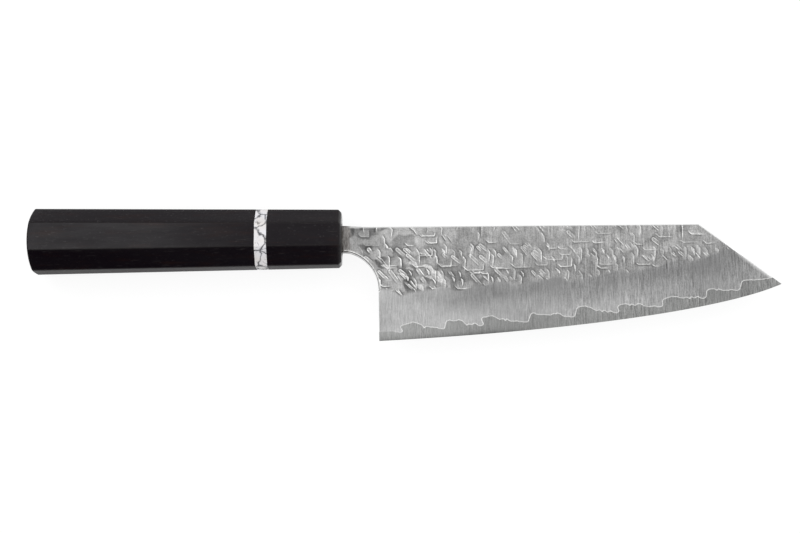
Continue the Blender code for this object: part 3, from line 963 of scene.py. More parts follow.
def flatPatches(x, y, seed):
    # the flats between the marks: straight-sided patches, each with its own tone and lean
    rng = random.Random(seed)
    wide, tall = hammer["patchSize"]
    best = np.full((2, len(x)), np.inf)
    values = np.zeros((2, 2, len(x)))
    for column in range(-1, int(tipX / wide) + 2):
        for row in range(-8, 3):
            px = (column + rng.uniform(0.05, 0.95) + (row % 2) * 0.5) * wide
            py = (row + rng.uniform(0.1, 0.9)) * tall
            shade, leanX, leanY = (rng.uniform(-1, 1) for _ in range(3))
            dx, dy = x - px, y - py
            distance = np.hypot(dx * 0.8 + dy * 0.35, dy)
            nearest, second = distance < best[0], (distance >= best[0]) & (distance < best[1])
            best[1] = np.where(nearest, best[0], np.where(second, distance, best[1]))
            for k, value in enumerate((shade, leanX * dx + leanY * dy)):
                values[1, k] = np.where(nearest, values[0, k], np.where(second, value, values[1, k]))
                values[0, k] = np.where(nearest, value, values[0, k])
            best[0] = np.where(nearest, distance, best[0])
    blend = 0.5 + 0.5 * smoothStep(0.0, 0.4, best[1] - best[0])
    tone, lift = values[0] * blend + values[1] * (1 - blend)
    return tone * hammer["patchTone"], lift * hammer["patchTilt"]


def hammeredSkin(points, marks, seed):
    # the pressed marks' height and masks at each point
    ridgeHighlight, shadeLine, shine, press, shadow = np.zeros((5, len(points)))
    for mark in marks:
        path = mark["path"]
        reach = max(mark["reach"], 1.5) + 0.6
        low, high = path.min(0) - reach, path.max(0) + reach
        near = np.flatnonzero(np.all((points > low) & (points < high), axis=1))
        if not len(near):
            continue
        distance, side, past, along = lineDistance(points[near], path, np.linspace(0, 1, len(path)))
        taper = np.clip(np.minimum(along * 8, (1 - along) * 4) + 0.16, 0, 1)
        # the crest gets a painted highlight as well as its height
        crest = bell(distance, mark["width"]) * taper * mark["bright"] * (past < 0.1)
        ridgeHighlight[near] = np.maximum(ridgeHighlight[near], crest)
        if mark.get("filled"):
            pressed = insideLoop(points[near], path)
            inner = np.clip(1 - distance / (mark["reach"] * 1.6), 0.3, 1) * pressed
        else:
            pressed = side == mark["side"]
            inner = np.clip(1 - distance / mark["reach"], 0, 1) * pressed * bell(past, 0.4)
        press[near] = np.maximum(press[near], inner**1.3 * mark["depth"])
        # the shine: a painted highlight where it is above zero and a painted shade below, stronger toward the
        # heel
        glow = mark["shine"] * inner**0.6 * (1.35 if path[0][0] < 44 else 1.15)
        stronger = np.abs(glow) > np.abs(shine[near])
        shine[near[stronger]] = glow[stronger]
        # a painted shade line just outside each mark's crest
        outer = bell(distance - hammer["shadeLineAway"], hammer["shadeLineWidth"]) * ~pressed
        outer = outer * taper * mark["bright"] * bell(past, 0.3)
        shadeLine[near] = np.maximum(shadeLine[near], outer)
        dusk = bell(distance, hammer["shadowWidth"]) * ~pressed * bell(past, 0.6) * mark["bright"]
        shadow[near] = np.maximum(shadow[near], dusk)
    x, y = points.T
    patchTone, patchLift = flatPatches(x, y, seed + 1)
    swell = waves(x, y, seed + 2, hammer["swellLengths"])
    heelward = 1 - smoothStep(*hammer["heelward"], x)
    lowness = smoothStep(2.0, 15.0, spineY(x) - y) * smoothStep(12.0, 2.0, y - edgeY(x) - hammer["border"])
    scuff = smoothStep(0.3, 0.8, waves(x, y, seed + 4, hammer["scuffLengths"])) * hammer["scuffTone"]
    tone = patchTone * (1 + 1.7 * heelward) + swell * hammer["swellTone"] + scuff
    tone = tone - shadow * (0.22 + 0.14 * heelward)
    neckDusk = hammer["neckDusk"] * (1 - smoothStep(*hammer["neckDuskUntil"], x))
    tone += 0.05 - lowness * 0.2 * (1 - 0.7 * heelward) - neckDusk
    tone = np.where(np.abs(shine) > 0.02, tone * 0.4 + shine, tone)
    height = ridgeHighlight * hammer["ridgeHeight"] - press * hammer["depth"]
    height = height + swell * hammer["swellHeight"] + patchLift
    return height, ridgeHighlight, shadeLine, tone


# tones along the ground bevel and the bare core, partly their finish and partly painted reflection: a
# starting level, then steps (from x, to x, change)
bevel = {
    "pale": (0.29, (40.0, 60.0, -0.23), (112.0, 150.0, -0.20)),
    "dark": (0.22, (22.0, 36.0, -0.20), (36.0, 56.0, -0.32), (110.0, 160.0, -0.14)),
    "core": (0.0, (34.0, 60.0, -0.21), (62.0, 94.0, 0.1), (168.0, 178.0, 0.12), (120.0, 160.0, -0.1)),
    "weldFade": (0.3, (19.0, 27.0, 0.7)),
    "darkFrom": 7.5,
    "darkOver": 8.5,
    "heelShade": 0.2,
    "weldOnCladding": (0.09, 0.25),
    "weldOnCore": (0.05, 0.2),
    "coreEdge": 0.5,
    "coreEdgeReach": 1.1,
}


def bevelMask(x, y, seed):
    # where the ground bevel ends: ragged, but even and higher under the tip's slope
    over = y - edgeY(x)
    ragged = waves(x, y * 0.4, seed + 3, hammer["raggedLengths"])
    slopeward = smoothStep(149.0, 153.0, x)
    border = hammer["border"] + ragged * hammer["ragged"] * (1 - 0.85 * slopeward) + 1.3 * slopeward
    return 1 - smoothStep(border - 1.1, border + 0.9, over)


def bevelTone(x, y):
    # the ground bevel is pale above the weld line and toward the heel, darker under the hammering: partly its
    # hazy finish, partly a painted reflection gradient
    pale, dark = ramped(x, *bevel["pale"]), ramped(x, *bevel["dark"])
    over = y - edgeY(x) - bevel["darkFrom"] + 1.5 * (1 - smoothStep(42.0, 56.0, x))
    share = np.clip(over / bevel["darkOver"], 0, 1)
    heelShade = bevel["heelShade"] * (1 - smoothStep(16.0, 25.0, x)) * (1 - 0.8 * share)
    return pale + (dark - pale) * share - heelShade


def coreTone(x, y):
    # the bare core is darkest at the middle of the blade, and toward the heel it darkens down to the edge;
    # these tones are partly its finish and partly painted reflection
    nearEdge = np.exp(-np.maximum(y - edgeY(x), 0.0) / bevel["coreEdgeReach"])
    return ramped(x, *bevel["core"]) - bevel["coreEdge"] * (nearEdge - 0.22) * (1 - smoothStep(60.0, 86.0, x))


def weldMask(points, line, inner, outer):
    # the weld line, drawn pale as a painted highlight along the cladding's lip, faint at the heel
    near = 1 - smoothStep(inner, outer, lineDistance(points, line[::2])[0])
    return near * ramped(points[:, 0], *bevel["weldFade"])


def easedDrop(points, half):
    # how far the rounded borders fall below the flat side, and a mask of that rounding
    drop, mask = np.zeros((2, len(points)))
    room = np.maximum((half - coreHalf(*points.T) - blade["weldGap"]) * 0.85, 0.01)
    for line, radii in ((easedLine, easedRadii), (topLine, topRadii)):
        distance, _, _, radius = lineDistance(points, line, radii)
        inward = np.clip(1 - distance / radius, 0, 1)
        fall = radius * (1 - np.sqrt(np.maximum(1 - inward**2, 0)))
        drop = np.maximum(drop, np.minimum(fall, room))
        mask = np.maximum(mask, inward)
    return drop, mask


def borderMasks(points, polish):
    # a painted highlight and a painted shade line along the choil's rounded edge, the rounded borders'
    # painted highlight, a painted highlight band down the tip's slope and the neck's one bright line
    x, y = points.T
    choil = lineDistance(points, choilRun[::2])[0]
    slope = lineDistance(points, pointUpper[::4])[0]
    steel = smoothStep(1.5, 4.0, x)
    bright = bell(choil - 0.66, 0.17) * 0.95 * np.where(y < 0, 1.0, steel)
    dark = bell(choil - 0.33, 0.17) * steel
    shining = polish**0.6 * steel * np.where(choil < 0.7, 1 - smoothStep(0.1, 0.26, choil), 1.0)
    band = (1 - smoothStep(0.4, 1.5, slope)) * smoothStep(158.0, 168.0, x) * (1 - smoothStep(175.5, 178.5, x))
    neckLine = bell(x - 3.7 - 0.2 * np.sin(y * 1.3), 0.2) * 0.16
    return np.maximum(bright, neckLine), dark, np.maximum(shining, band * 0.5)


# points of the cladding's outer side: how far beside each line they stand, and how near others may come
skinRows = {
    "weld": ((0.2, 0.36), 0.1),
    "borders": ((0.07, 0.2, 0.34, 0.5, 0.66, 0.85), 0.06),
    "crests": ((0.0,), 0.12),
    "flanks": ((-0.2, 0.2), 0.12),
    "chords": ((-0.07, 0.07), 0.1),
    "skirts": ((-0.42, 0.42), 0.15),
}
skinGrids = {
    "fine": (0.42, 0.26),
    "coarse": (0.75, 0.45),
    "tang": (2.5, 1.2),
    "fineAbove": 17.5,
    "chord": 0.3,
}


def sheetPoints(line, marks):
    # rows along the marks, weld line and borders, then a fine, a coarse and a tang grid
    paths = [mark["path"] for mark in marks]
    filled = [mark["path"] for mark in marks if mark.get("filled")]
    lines = {
        "weld": [line],
        "borders": [joinRuns(choilRun, heelUpper), pointUpper, spineRun, neckAbove],
        "crests": paths,
        "flanks": paths,
        "chords": [resample([path[0], path[-1]], skinGrids["chord"]) for path in filled],
        "skirts": paths,
    }
    groups = []
    for label, (distances, clear) in skinRows.items():
        groups.append((np.vstack([offsetRows(run, distances) for run in lines[label]]), clear))
    fineStep, fineClear = skinGrids["fine"]
    fine = hexGrid(0.0, tipX, -25.0, blade["gridHigh"], fineStep)
    fine = fine[(fine[:, 1] - edgeY(fine[:, 0]) > skinGrids["fineAbove"]) | (fine[:, 0] < heelX)]
    coarseStep, coarseClear = skinGrids["coarse"]
    coarse = hexGrid(0.0, tipX, blade["gridLow"], blade["gridHigh"], coarseStep)
    tangStep, tangClear = skinGrids["tang"]
    tang = hexGrid(tangBack, 0.0, -blade["gridHigh"], blade["gridHigh"], tangStep)
    return groups + [(fine, fineClear), (coarse, coarseClear), (tang, tangClear)]


def buildCladding(name, node, side, line, seed):
    # a hammered outer skin and a plain inner one, joined round the rim
    gapLine = line + (0.0, 0.05)
    gapLine[0] = (heelLineX(gapLine[0][1]), gapLine[0][1])
    gapLine[-1] = pointMeeting(lamination["pointEnd"] + 0.06)
    outline = np.vstack([rearRun[:-1], gapLine, frontRun[1:]])
    rim = len(outline)
    marks = hammerMarks(seed)
    kept = thinOut([(outline, 0.0)] + sheetPoints(gapLine, marks))[rim:]
    skin, skinFaces = triangulate(outline, kept)
    back, backFaces = triangulate(outline, hiddenGrid)
    x, y = skin.T
    half = halfThickness(x, y)
    ground = bevelMask(x, y, seed)
    height, ridgeHighlight, shadeLine, tone = hammeredSkin(skin, marks, seed)
    above = (1 - ground) * smoothStep(*hammer["reliefFrom"], x)
    crisp = smoothStep(0.25, 0.7, 1 - ground) * smoothStep(*hammer["marksFrom"], x)
    drop, polish = easedDrop(skin, half)
    bright, dark, shining = borderMasks(skin, polish)
    top = half + height * above * (1 - polish) - drop
    top = np.maximum(top, coreHalf(x, y) + blade["weldGap"] + 0.01)
    under = coreHalf(*back.T) + blade["weldGap"]
    masks = {
        "ridgeHighlight": np.maximum(ridgeHighlight * crisp, bright),
        "shadeLine": np.maximum(shadeLine * crisp, dark),
        "ground": ground,
        "tone": tone * (1 - ground) + bevelTone(x, y) * ground,
        "polish": shining,
        "line": weldMask(skin, line, *bevel["weldOnCladding"]),
        "stain": 1 - smoothStep(*hammer["stainUntil"], x),
    }
    masks = {label: np.concatenate([values, np.zeros(len(back))]) for label, values in masks.items()}
    points = np.vstack([np.column_stack([skin, top]), np.column_stack([back, under])]) * (1, 1, side)
    shift = len(skin)
    faces = skinFaces.tolist() + (backFaces[:, ::-1] + shift).tolist()
    faces = turned(faces + bridge(range(shift, shift + rim), range(rim)), side)
    sharp = [(start + i, start + (i + 1) % rim) for start in (0, shift) for i in range(rim)]
    piece = makePiece(name, points, faces, claddingSteel, masks, sharp)
    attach(piece, "root")
    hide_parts(node)
    print(f"{name}: {len(marks)} hammer marks, {len(faces)} faces")


def buildCore(rightLine, leftLine):
    # the middle layer: thin under the claddings, a full bevel below each weld line, and the tang
    outline = np.vstack([rearRun[:-1], lowRun, frontRun[1:]])
    count = len(outline)
    heelAt, tipAt = len(rearRun) - 1, len(rearRun) + len(lowRun) - 2
    points, faces, lineMask = [], [], []
    border = {1: [], -1: []}

    def addSheet(flat, sheetFaces, heights, mask, side):
        start = sum(len(block) for block in points)
        points.append(np.column_stack([flat, heights * side]))
        lineMask.append(mask)
        faces.extend(turned((sheetFaces + start).tolist(), side))
        return start

    for side, line in ((1, rightLine), (-1, leftLine)):
        covered = np.vstack([rearRun[:-1], line, frontRun[1:]])
        sheet, sheetFaces = triangulate(covered, hiddenGrid)
        coverStart = addSheet(sheet, sheetFaces, coreHalf(*sheet.T), np.zeros(len(sheet)), side)
        exposed = np.vstack([lowRun[:-1], line[::-1][:-1]])
        inner = [
            (offsetRows(line, (-0.18, -0.34)), 0.1),
            (offsetRows(edgeRun, (0.15, 0.4)), 0.1),
            (hexGrid(heelX, tipX, blade["gridLow"], -10.0, 0.55), 0.32),
        ]
        kept = thinOut([(exposed, 0.0)] + inner)[len(exposed):]
        bare, bareFaces = triangulate(exposed, kept)
        weld = weldMask(bare, line, *bevel["weldOnCore"])
        bareStart = addSheet(bare, bareFaces, halfThickness(*bare.T), weld, side)
        last = len(line) - 1
        coverLine = [coverStart + heelAt + k for k in range(last + 1)]
        bareLine = [bareStart] + [bareStart + len(lowRun) - 1 + last - k for k in range(1, last + 1)]
        faces += turned(bridge(bareLine, coverLine, closed=False), side)
        for i in range(count):
            stack = []
            if i <= heelAt:
                stack.append(coverStart + i)
            if i >= tipAt:
                stack.append(coverStart + heelAt + last + i - tipAt)
            if heelAt <= i <= tipAt:
                stack.append(bareStart + i - heelAt)
            border[side].append(stack)

    def ladder(i, low):
        # the border's points from the left side to the right
        left, right = (border[side][i][: None if low else 1] for side in (-1, 1))
        return left[::-1] + right

    for i in range(count):
        low = heelAt <= i < tipAt
        faces.append(ladder(i, low)[::-1] + ladder((i + 1) % count, low))
    points = np.vstack(points)
    masks = {"line": np.concatenate(lineMask), "tone": coreTone(*points[:, :2].T)}
    piece = makePiece("coreLayer", points, faces, coreSteel, masks)
    piece.data.set_sharp_from_angle(angle=math.radians(40))
    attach(piece, "root")
    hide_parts("core_steel")
    print(f"core: {len(faces)} faces")


rightLine = laminationLine("right", 41)
leftLine = laminationLine("left", 57)
buildCore(rightLine, leftLine)
buildCladding("claddingRight", "cladding_right", 1, rightLine, 20)
buildCladding("claddingLeft", "cladding_left", -1, leftLine, 76)

# height, width and flats are given at the butt and at the front
handle = {
    "length": 128.8,
    "height": (26.1, 23.2),
    "width": (22.4, 18.8),
    "sideFlat": (11.5, 9.3),
    "topFlat": (9.0, 7.6),
    "arris": 0.55,
    "arrisPoints": 5,
    "flatPoints": 4,
    "domeRadius": 38.0,
    "domeEase": 0.5,
    "domeShares": (0.12, 0.3, 0.5, 0.68, 0.84, 0.93),
    "ferruleLength": 30.3,
    "spacerLength": 5.0,
    "chamfer": 1.25,
    "jointGap": 0.04,
    "jointEase": 0.06,
    "boreRadius": 5.8,
    "mortiseDepth": 7.0,
    "boreDepth": 93.0,
    "ringSpacing": 4.0,
    "sealantDepth": 4.0,
    "sealantBead": ((0.02, 0.0), (0.04, 0.1), (0.1, 0.12), (0.16, 0.04)),
}
neckHalf = float(flatHalf(np.array(0.0), np.array(neckTop)))


def handleSize(x, label):
    butt, front = handle[label]
    return front + (butt - front) * -x / handle["length"]


def octagonRing(x, inset=0.0):
    # the eight-sided section with rounded corners, as (y, z) points and a mask of the corners
    halfY = handleSize(x, "height") / 2 - inset
    halfZ = handleSize(x, "width") / 2 - inset
    side = handleSize(x, "sideFlat") / 2 - inset * 0.41
    top = handleSize(x, "topFlat") / 2 - inset * 0.41
    corners = np.array([
        (halfY, top), (side, halfZ), (-side, halfZ), (-halfY, top),
        (-halfY, -top), (-side, -halfZ), (side, -halfZ), (halfY, -top),
    ])
    points, mask = [], []
    for i, corner in enumerate(corners):
        before, after = corners[i - 1], corners[(i + 1) % 8]
        back = (before - corner) / np.hypot(*(before - corner))
        ahead = (after - corner) / np.hypot(*(after - corner))
        reach = handle["arris"] * max(1 - inset / 6, 0.1)
        for t in np.linspace(0, 1, handle["arrisPoints"]):
            points.append(corner + back * reach * (1 - t) ** 2 + ahead * reach * t**2)
            mask.append(math.sin(t * math.pi))
        for t in np.linspace(0, 1, handle["flatPoints"] + 2)[1:-1]:
            start, end = corner + ahead * reach, after - ahead * reach
            points.append(start + (end - start) * t)
            mask.append(0.0)
    return np.array(points), np.array(mask)


def outward(shape):
    angles = np.arctan2(shape[:, 1], shape[:, 0])
    return np.column_stack([np.cos(angles), np.sin(angles)])


def boreRing(shape):
    # as many points round the bore, each in line with a point of the outer shape
    return outward(shape) * handle["boreRadius"]


def boxRing(shape, high, low, half):
    # as many points round a square-cornered slot
    middle, reach = (high + low) / 2, (high - low) / 2
    directions = outward(shape)
    scale = 1 / np.maximum(np.abs(directions[:, 0]) / reach, np.abs(directions[:, 1]) / half)
    return directions * scale[:, None] + (middle, 0.0)


def tubeFromRings(name, rings, capped, material, node):
    # a closed skin through rings (x, points, mask), with both ends capped or joined end to end
    size = len(rings[0][1])
    points = np.vstack([np.column_stack([x + np.zeros(size), ring]) for x, ring, _ in rings])
    rows = [list(range(k * size, (k + 1) * size)) for k in range(len(rings))]
    pairs = list(zip(rows, rows[1:]))
    if not capped:
        pairs.append((rows[-1], rows[0]))
    faces = [face for first, second in pairs for face in bridge(first, second)]
    if capped:
        faces += [rows[0][::-1], rows[-1]]
    piece = makePiece(name, points, faces, material, {"arris": np.concatenate([ring[2] for ring in rings])})
    piece.data.set_sharp_from_angle(angle=math.radians(50))
    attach(piece, "root")
    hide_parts(node)
    print(f"{name}: {len(faces)} faces")
    return piece


woodLook = {
    "dark": (0.0026, 0.0008, 0.0027),
    "warm": (0.0078, 0.0014, 0.0016),
    "pore": (0.040, 0.036, 0.035),
    "worn": (0.012, 0.010, 0.0098),
    "dullShine": 0.10,
    "polish": 0.46,
    "polishRoughness": 0.42,
    "slantPolish": 0.0,
    "ferrulePolish": (0.16, 0.11),
    "ferruleAt": (-0.078, -0.03),
    "endPolish": 0.75,
    "bump": 0.00003,
    "noises": {
        "patches": ((60.0, 300.0, 300.0), 3.0, 0.6, 14.0),
        "sheen": ((26.0, 170.0, 170.0), 5.0, 0.68, 33.0),
        "specks": ((800.0, 1300.0, 1300.0), 3.0, 0.6, 51.0),
    },
    "ranges": {
        "warm": (0.52, 0.64),
        "roughness": (0.35, 0.65, 0.40, 0.48),
        "slant": (0.075, 0.15),
        "sheen": (0.3, 0.7, 0.6, 1.33),
        "specks": (0.6, 0.76, 0.0, 0.45),
    },
}


def buildEbony():
    material, tree, shader = newMaterial("ebony")
    grain = placeGroup(tree, grainGroup, {"Pores": 1.0})
    noise, ranges = noiseSet(tree, woodLook["noises"]), woodLook["ranges"]
    warm = mapRange(plus(times(grain["Streak"], 0.5), times(noise["patches"], 0.5)), *ranges["warm"])
    colour = mixColour(warm, woodLook["dark"], woodLook["warm"])
    colour = mixColour(times(grain["Pore"], 0.5), colour, woodLook["pore"])
    colour = mixColour(times(meshMask(tree, "arris"), 0.5), colour, woodLook["worn"])
    endFace = meshMask(tree, "endFace")
    rough = minus(mapRange(grain["Streak"], *ranges["roughness"]), times(endFace, 0.2))
    # the polish: less on the slanted facets, which stay duller, and less toward the ferrule
    slant = addNode(tree, "ShaderNodeLayerWeight", {"Blend": 0.5})
    aslant = mapRange(slant.outputs["Facing"], *ranges["slant"])
    along = splitAxes(objectPlace(tree))["X"]
    rear, front = (float(knifeOrigin[0]) + x for x in woodLook["ferruleAt"])
    square = mapRange(along, rear, front, woodLook["polish"], woodLook["ferrulePolish"][0])
    slanted = mapRange(along, rear, front, woodLook["slantPolish"], woodLook["ferrulePolish"][1])
    coat = plus(times(minus(1.0, aslant), square), times(aslant, slanted))
    coat = times(coat, mapRange(noise["sheen"], *ranges["sheen"]))
    coat = plus(coat, mapRange(noise["specks"], *ranges["specks"]))
    coat = larger(coat, times(endFace, woodLook["endPolish"]), clamp=True)
    feedAll(shader, {
        "Base Color": colour,
        "Roughness": rough,
        "Specular IOR Level": woodLook["dullShine"],
        "Coat Weight": coat,
        "Coat Roughness": woodLook["polishRoughness"],
        "Normal": bumpNode(grain["Height"], woodLook["bump"]),
    })
    return material


stoneLook = {
    "base": (0.70, 0.698, 0.735),
    "warm": (0.66, 0.622, 0.592),
    "vein": (0.030, 0.031, 0.038),
    "bend": 330.0,
    "push": 0.0042,
    "cells": ((165.0, 0.098), (310.0, 0.068)),
    "veinCore": 0.012,
    "veinShare": 0.95,
    "bump": 0.00003,
    "ranges": {
        "broad": (0.3, 0.45, 0.5, 1.0),
        "thin": (0.5, 0.62, 0.0, 0.8),
        "cloud": (0.4, 0.7),
        "roughness": (0.0, 1.0, 0.24, 0.5),
    },
    "noises": {
        "patch": ((300.0, 300.0, 300.0), 3.0, 0.6, 4.0),
        "cloud": ((140.0, 140.0, 140.0), 4.0, 0.6, 8.0),
    },
}


def buildStone():
    material, tree, shader = newMaterial("veinedStone")
    place = objectPlace(tree)
    bend = addNode(tree, "ShaderNodeTexNoise", {"Vector": place, "Scale": stoneLook["bend"], "Detail": 4.0})
    push = {0: stoneLook["push"], 4: place, 5: bend.outputs["Color"]}
    pushed = addNode(tree, "ShaderNodeMix", push, data_type="VECTOR").outputs[1]
    veins = []
    for scale, width in stoneLook["cells"]:
        values = {"Vector": pushed, "Scale": scale}
        cells = addNode(tree, "ShaderNodeTexVoronoi", values, feature="DISTANCE_TO_EDGE")
        veins.append(mapRange(cells.outputs["Distance"], stoneLook["veinCore"], width, 1.0, 0.0))
    noise, ranges = noiseSet(tree, stoneLook["noises"]), stoneLook["ranges"]
    broad, thin = (
        times(vein, mapRange(noise["patch"], *ranges[label])) for vein, label in zip(veins, ("broad", "thin"))
    )
    vein = larger(broad, thin)
    base = mixColour(mapRange(noise["cloud"], *ranges["cloud"]), stoneLook["base"], stoneLook["warm"])
    feedAll(shader, {
        "Base Color": mixColour(times(vein, stoneLook["veinShare"]), base, stoneLook["vein"]),
        "Roughness": mapRange(vein, *ranges["roughness"]),
        "Normal": bumpNode(times(vein, -1.0), stoneLook["bump"]),
    })
    return material


sealantLook = {
    "dark": (0.012, 0.011, 0.010),
    "light": (0.045, 0.036, 0.030),
    "bump": 0.0001,
    "blotch": ((900.0, 900.0, 900.0), 4.0, 0.6, 6.0),
    "ranges": {"blotch": (0.35, 0.65), "roughness": (0.3, 0.7, 0.4, 0.65)},
}


def buildSealantLook():
    material, tree, shader = newMaterial("sealantResin")
    blotch, ranges = stretchedNoise(tree, *sealantLook["blotch"]), sealantLook["ranges"]
    light = mapRange(blotch, *ranges["blotch"])
    feedAll(shader, {
        "Base Color": mixColour(light, sealantLook["dark"], sealantLook["light"]),
        "Roughness": mapRange(blotch, *ranges["roughness"]),
        "Normal": bumpNode(blotch, sealantLook["bump"]),
    })
    return material


dowelLook = {
    "light": (0.58, 0.41, 0.25),
    "dark": (0.36, 0.22, 0.12),
    "pore": (0.20, 0.12, 0.07),
    "roughness": (0.3, 0.7, 0.58, 0.72),
    "bump": 0.00006,
}


def buildDowelWood():
    material, tree, shader = newMaterial("dowelWood")
    grain = placeGroup(tree, grainGroup, {"Pores": 0.6})
    colour = mixColour(grain["Streak"], dowelLook["light"], dowelLook["dark"])
    feedAll(shader, {
        "Base Color": mixColour(times(grain["Pore"], 0.6), colour, dowelLook["pore"]),
        "Roughness": mapRange(grain["Streak"], *dowelLook["roughness"]),
        "Normal": bumpNode(grain["Height"], dowelLook["bump"]),
    })
    return material


ebony = buildEbony()
stone = buildStone()
resin = buildSealantLook()


def easedEnd(x, inward):
    # rings that round a pipe's end off: inward is +1 where the piece lies toward +x
    ease = handle["jointEase"]
    rings = []
    for t in (1.0, 0.6, 0.25, 0.0):
        shape, mask = octagonRing(x, ease * (1 - math.sqrt(max(1 - t * t, 0))))
        rings.append((x + inward * ease * (1 - t), shape, np.maximum(mask, t * 0.6)))
    return rings if inward > 0 else rings[::-1]


def straightRings(x0, x1):
    count = max(int(abs(x1 - x0) / handle["ringSpacing"]), 1)
    return [(x, *octagonRing(x)) for x in np.linspace(x0, x1, count + 1)[1:-1]]


def plainRings(*places):
    # rings with no worn corners, from pairs of a place and a shape
    return [(x, shape, np.zeros(len(shape))) for x, shape in places]


def buildHandleBody():
    butt = -handle["length"]
    front = -handle["ferruleLength"] - handle["spacerLength"] - handle["jointGap"]
    radius, ease = handle["domeRadius"], handle["domeEase"]

    def domeX(shape):
        return butt + radius - np.sqrt(radius**2 - np.sum(shape**2, axis=1))

    outer, _ = octagonRing(butt + 1.5)
    rings = plainRings(*((domeX(outer * share), outer * share) for share in handle["domeShares"]))
    for angle in np.linspace(0.0, 1.0, 5) * math.pi / 2:
        shape, mask = octagonRing(butt + 1.5, ease * (1 - math.sin(angle)))
        lift = ease * (1 - math.cos(angle))
        rings.append((domeX(shape) + lift, shape, np.maximum(mask, math.sin(2 * angle))))
    rings += straightRings(butt + 3.2 - handle["ringSpacing"] * 0.1, front)
    rings += easedEnd(front, -1)
    rings += plainRings((front, boreRing(outer)), (-handle["boreDepth"], boreRing(outer)))
    tubeFromRings("handleBody", rings, True, ebony, "handle_body")


def buildSpacer():
    rear = -handle["ferruleLength"] - handle["spacerLength"] + handle["jointGap"]
    front = -handle["ferruleLength"] - handle["jointGap"]
    rings = easedEnd(rear, 1)
    bore = boreRing(rings[0][1])
    rings += [(x, *octagonRing(x)) for x in np.linspace(rear, front, 5)[1:-1]]
    rings += easedEnd(front, -1) + plainRings((front, bore), (rear, bore))
    tubeFromRings("spacerRing", rings, False, stone, "spacer_ring")


def buildFerrule():
    rear = -handle["ferruleLength"] + handle["jointGap"]
    chamfer = handle["chamfer"]
    mortise = -handle["mortiseDepth"]
    rings = easedEnd(rear, 1)
    outer = rings[0][1]
    rings += straightRings(rear, -chamfer - 0.4)
    mouth = (
        (-chamfer - 0.3, 0.0), (-chamfer - 0.06, 0.03), (-chamfer + 0.16, 0.17),
        (-0.2, chamfer - 0.2), (-0.05, chamfer - 0.02), (0.0, chamfer + 0.22),
    )
    for x, inset in mouth:
        shape, mask = octagonRing(x, inset)
        rings.append((x, shape, np.maximum(mask, 0.5)))
    slot = boxRing(outer, neckTop + 1.0, neckLow - 1.0, neckHalf + 1.0)
    bore = boreRing(outer)
    rings += plainRings((0.0, slot * 1.03), (-0.12, slot), (mortise, slot))
    rings += plainRings((mortise - 0.02, bore), (rear, bore))
    piece = tubeFromRings("ferruleFront", rings, False, ebony, "ferrule")
    along = np.repeat([x for x, _, _ in rings], len(outer))
    writeMask(piece.data, "endFace", smoothStep(-chamfer - 0.1, -0.15, along))


def buildSealant():
    # the bed of resin round the neck, its bead uneven
    outer, _ = octagonRing(0.0)
    high, low = neckTop + 0.6, neckLow - 0.45
    rear = -handle["sealantDepth"]
    rng = random.Random(5)
    uneven = np.array([rng.uniform(0.75, 1.15) for _ in outer])
    uneven = (uneven + np.roll(uneven, 1) + np.roll(uneven, -1)) / 3
    inner = boxRing(outer, neckTop + 0.25, neckLow - 0.25, neckHalf + 0.25)
    rings = plainRings((rear, boxRing(outer, high, low, neckHalf + 0.7)))
    for x, spread in handle["sealantBead"]:
        bead = boxRing(outer, high + spread, low - spread, neckHalf + 0.7 + spread)
        rings += plainRings((x * uneven, bead))
    rings += plainRings((0.2 * uneven, inner), (rear, inner))
    tubeFromRings("mouthSealant", rings, False, resin, "mouth_sealant")


buildHandleBody()
buildSpacer()
buildFerrule()
buildSealant()
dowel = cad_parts["tang_dowel"]
dowel.data.materials.clear()
dowel.data.materials.append(buildDowelWood())

# studio, in metres: a pale floor, soft boxes at the sides, a dark card in front, and the camera
studio = {
    "floorHalf": 3.0,
    "floorTiles": 12,
    "floorColour": (0.15, 0.15, 0.15),
    "floorFade": 0.97,
    "floorGlow": 0.87,
    "skyUpward": (0.6, 0.95, 0.9, 1.06),
    "skyAcross": (-0.42, 0.0, 1.45, 0.93),
    "card": ((-0.6, -0.2, 0.0), (0.02, -0.2, 0.0), (0.02, -0.26, 0.5), (-0.6, -0.26, 0.5)),
    "cardColour": (0.005, 0.005, 0.005),
    "lamps": {"softBoxLeft": (-0.9, 0.7, 0.9), "softBoxRight": (0.9, 0.7, 0.9)},
    "lampWatts": 2.6,
    "lampSize": 0.8,
}


def stageMesh(name, points, faces, material):
    mesh = bpy.data.meshes.new(name)
    mesh.from_pydata(points, [], faces)
    mesh.materials.append(material)
    return linkNew(name, mesh)


def buildFloor():
    # its glow is for the camera and for mirrors, so it lights nothing
    material, tree, shader = newMaterial("paleFloor")
    soft = stretchedNoise(tree, (3.0, 3.0, 3.0), 2.0, 0.55, 0.0)
    faded = tuple(c * studio["floorFade"] for c in studio["floorColour"])
    path = addNode(tree, "ShaderNodeLightPath").outputs
    seen = larger(larger(path["Is Camera Ray"], path["Is Glossy Ray"]), path["Is Transmission Ray"])
    feedAll(shader, {
        "Base Color": mixColour(soft, studio["floorColour"], faded),
        "Roughness": 0.9,
        "Specular IOR Level": 0.0,
        "Emission Color": (1.0, 1.0, 1.0),
        "Emission Strength": times(seen, studio["floorGlow"]),
    })
    tiles = studio["floorTiles"]
    steps = np.linspace(-studio["floorHalf"], studio["floorHalf"], tiles + 1)
    points = [(x, y, 0.0) for y in steps for x in steps]
    rows = [range(k * (tiles + 1), (k + 1) * (tiles + 1)) for k in range(tiles + 1)]
    faces = [face for first, second in zip(rows, rows[1:]) for face in bridge(first, second, closed=False)]
    floor = stageMesh("studioFloor", points, faces, material)


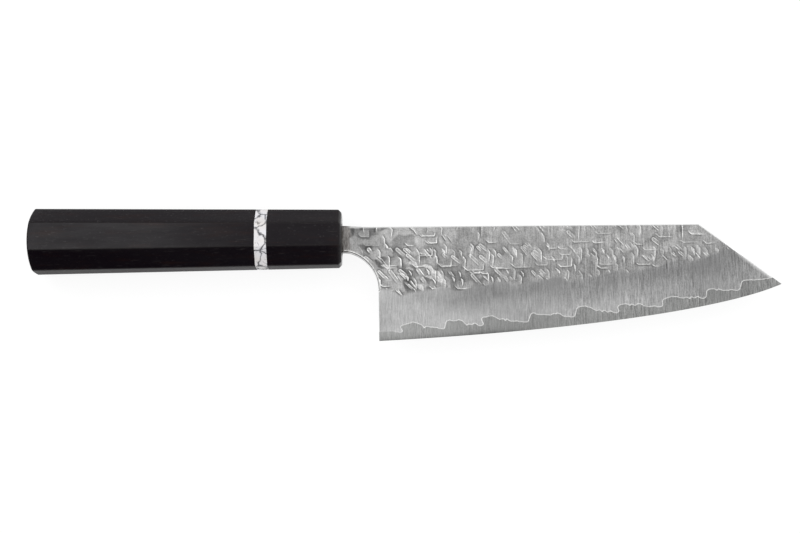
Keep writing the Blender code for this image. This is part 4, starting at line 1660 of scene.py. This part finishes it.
def buildSky():
    # brighter overhead, and brighter over the butt than over the point
    world = bpy.data.worlds.new("studioSky")
    bpy.context.scene.world = world
    world.use_nodes = True
    tree = world.node_tree
    axes = splitAxes(addNode(tree, "ShaderNodeTexCoord").outputs["Generated"])
    level = mapRange(axes["Z"], *studio["skyUpward"])
    across = mapRange(axes["X"], *studio["skyAcross"])
    feedAll(tree.nodes["Background"], {"Color": (1.0, 1.0, 1.0), "Strength": times(level, across)})


def addLamp(name, place):
    light = bpy.data.lights.new(name, "AREA")
    light.shape = "SQUARE"
    light.size = studio["lampSize"]
    light.energy = studio["lampWatts"]
    lamp = linkNew(name, light)
    lamp.location = place
    lamp.rotation_euler = (-Vector(place)).to_track_quat("-Z", "Y").to_euler()


def buildDarkCard():
    # a black card in front of the edge, out of the camera's sight, which the near facets mirror
    material, _, shader = newMaterial("blackCard")
    feedAll(shader, {"Base Color": studio["cardColour"], "Roughness": 1.0, "Specular IOR Level": 0.0})
    card = stageMesh("darkCard", studio["card"], [[0, 1, 2, 3]], material)
    card.visible_camera = False
    card.visible_diffuse = False
    card.visible_shadow = False


camera = {
    "lean": 11.8,
    "roll": 0.57,
    "distance": 534.6,
    "aim": (23.8866, -11.8911, 0.0),
    "focalPixels": 1300.0,
    "imageWidth": 800,
    "sensor": 36.0,
    "clipStart": 0.01,
}


def buildCamera():
    # it leans toward the edge side and rolls a little, as the photograph does
    lean, roll = math.radians(camera["lean"]), math.radians(camera["roll"])
    forward = Vector((0.0, math.sin(lean), -math.cos(lean)))
    level = Vector((0.0, math.cos(lean), math.sin(lean)))
    right = math.cos(roll) * Vector((1, 0, 0)) - math.sin(roll) * level
    up = math.sin(roll) * Vector((1, 0, 0)) + math.cos(roll) * level
    aim = Vector(np.array(camera["aim"]) * mm + knifeOrigin)
    place = aim - forward * camera["distance"] * mm
    view = bpy.data.cameras.new("photoCamera")
    view.sensor_width = camera["sensor"]
    view.lens = camera["focalPixels"] / camera["imageWidth"] * camera["sensor"]
    view.clip_start = camera["clipStart"]
    holder = linkNew("photoCamera", view)
    holder.matrix_world = Matrix((
        (right.x, up.x, -forward.x, place.x),
        (right.y, up.y, -forward.y, place.y),
        (right.z, up.z, -forward.z, place.z),
        (0, 0, 0, 1),
    ))
    bpy.context.scene.camera = holder


buildFloor()
buildSky()
buildDarkCard()
for name, place in studio["lamps"].items():
    addLamp(name, place)
buildCamera()
bpy.context.scene.view_settings.view_transform = "Standard"

print("scene ready")
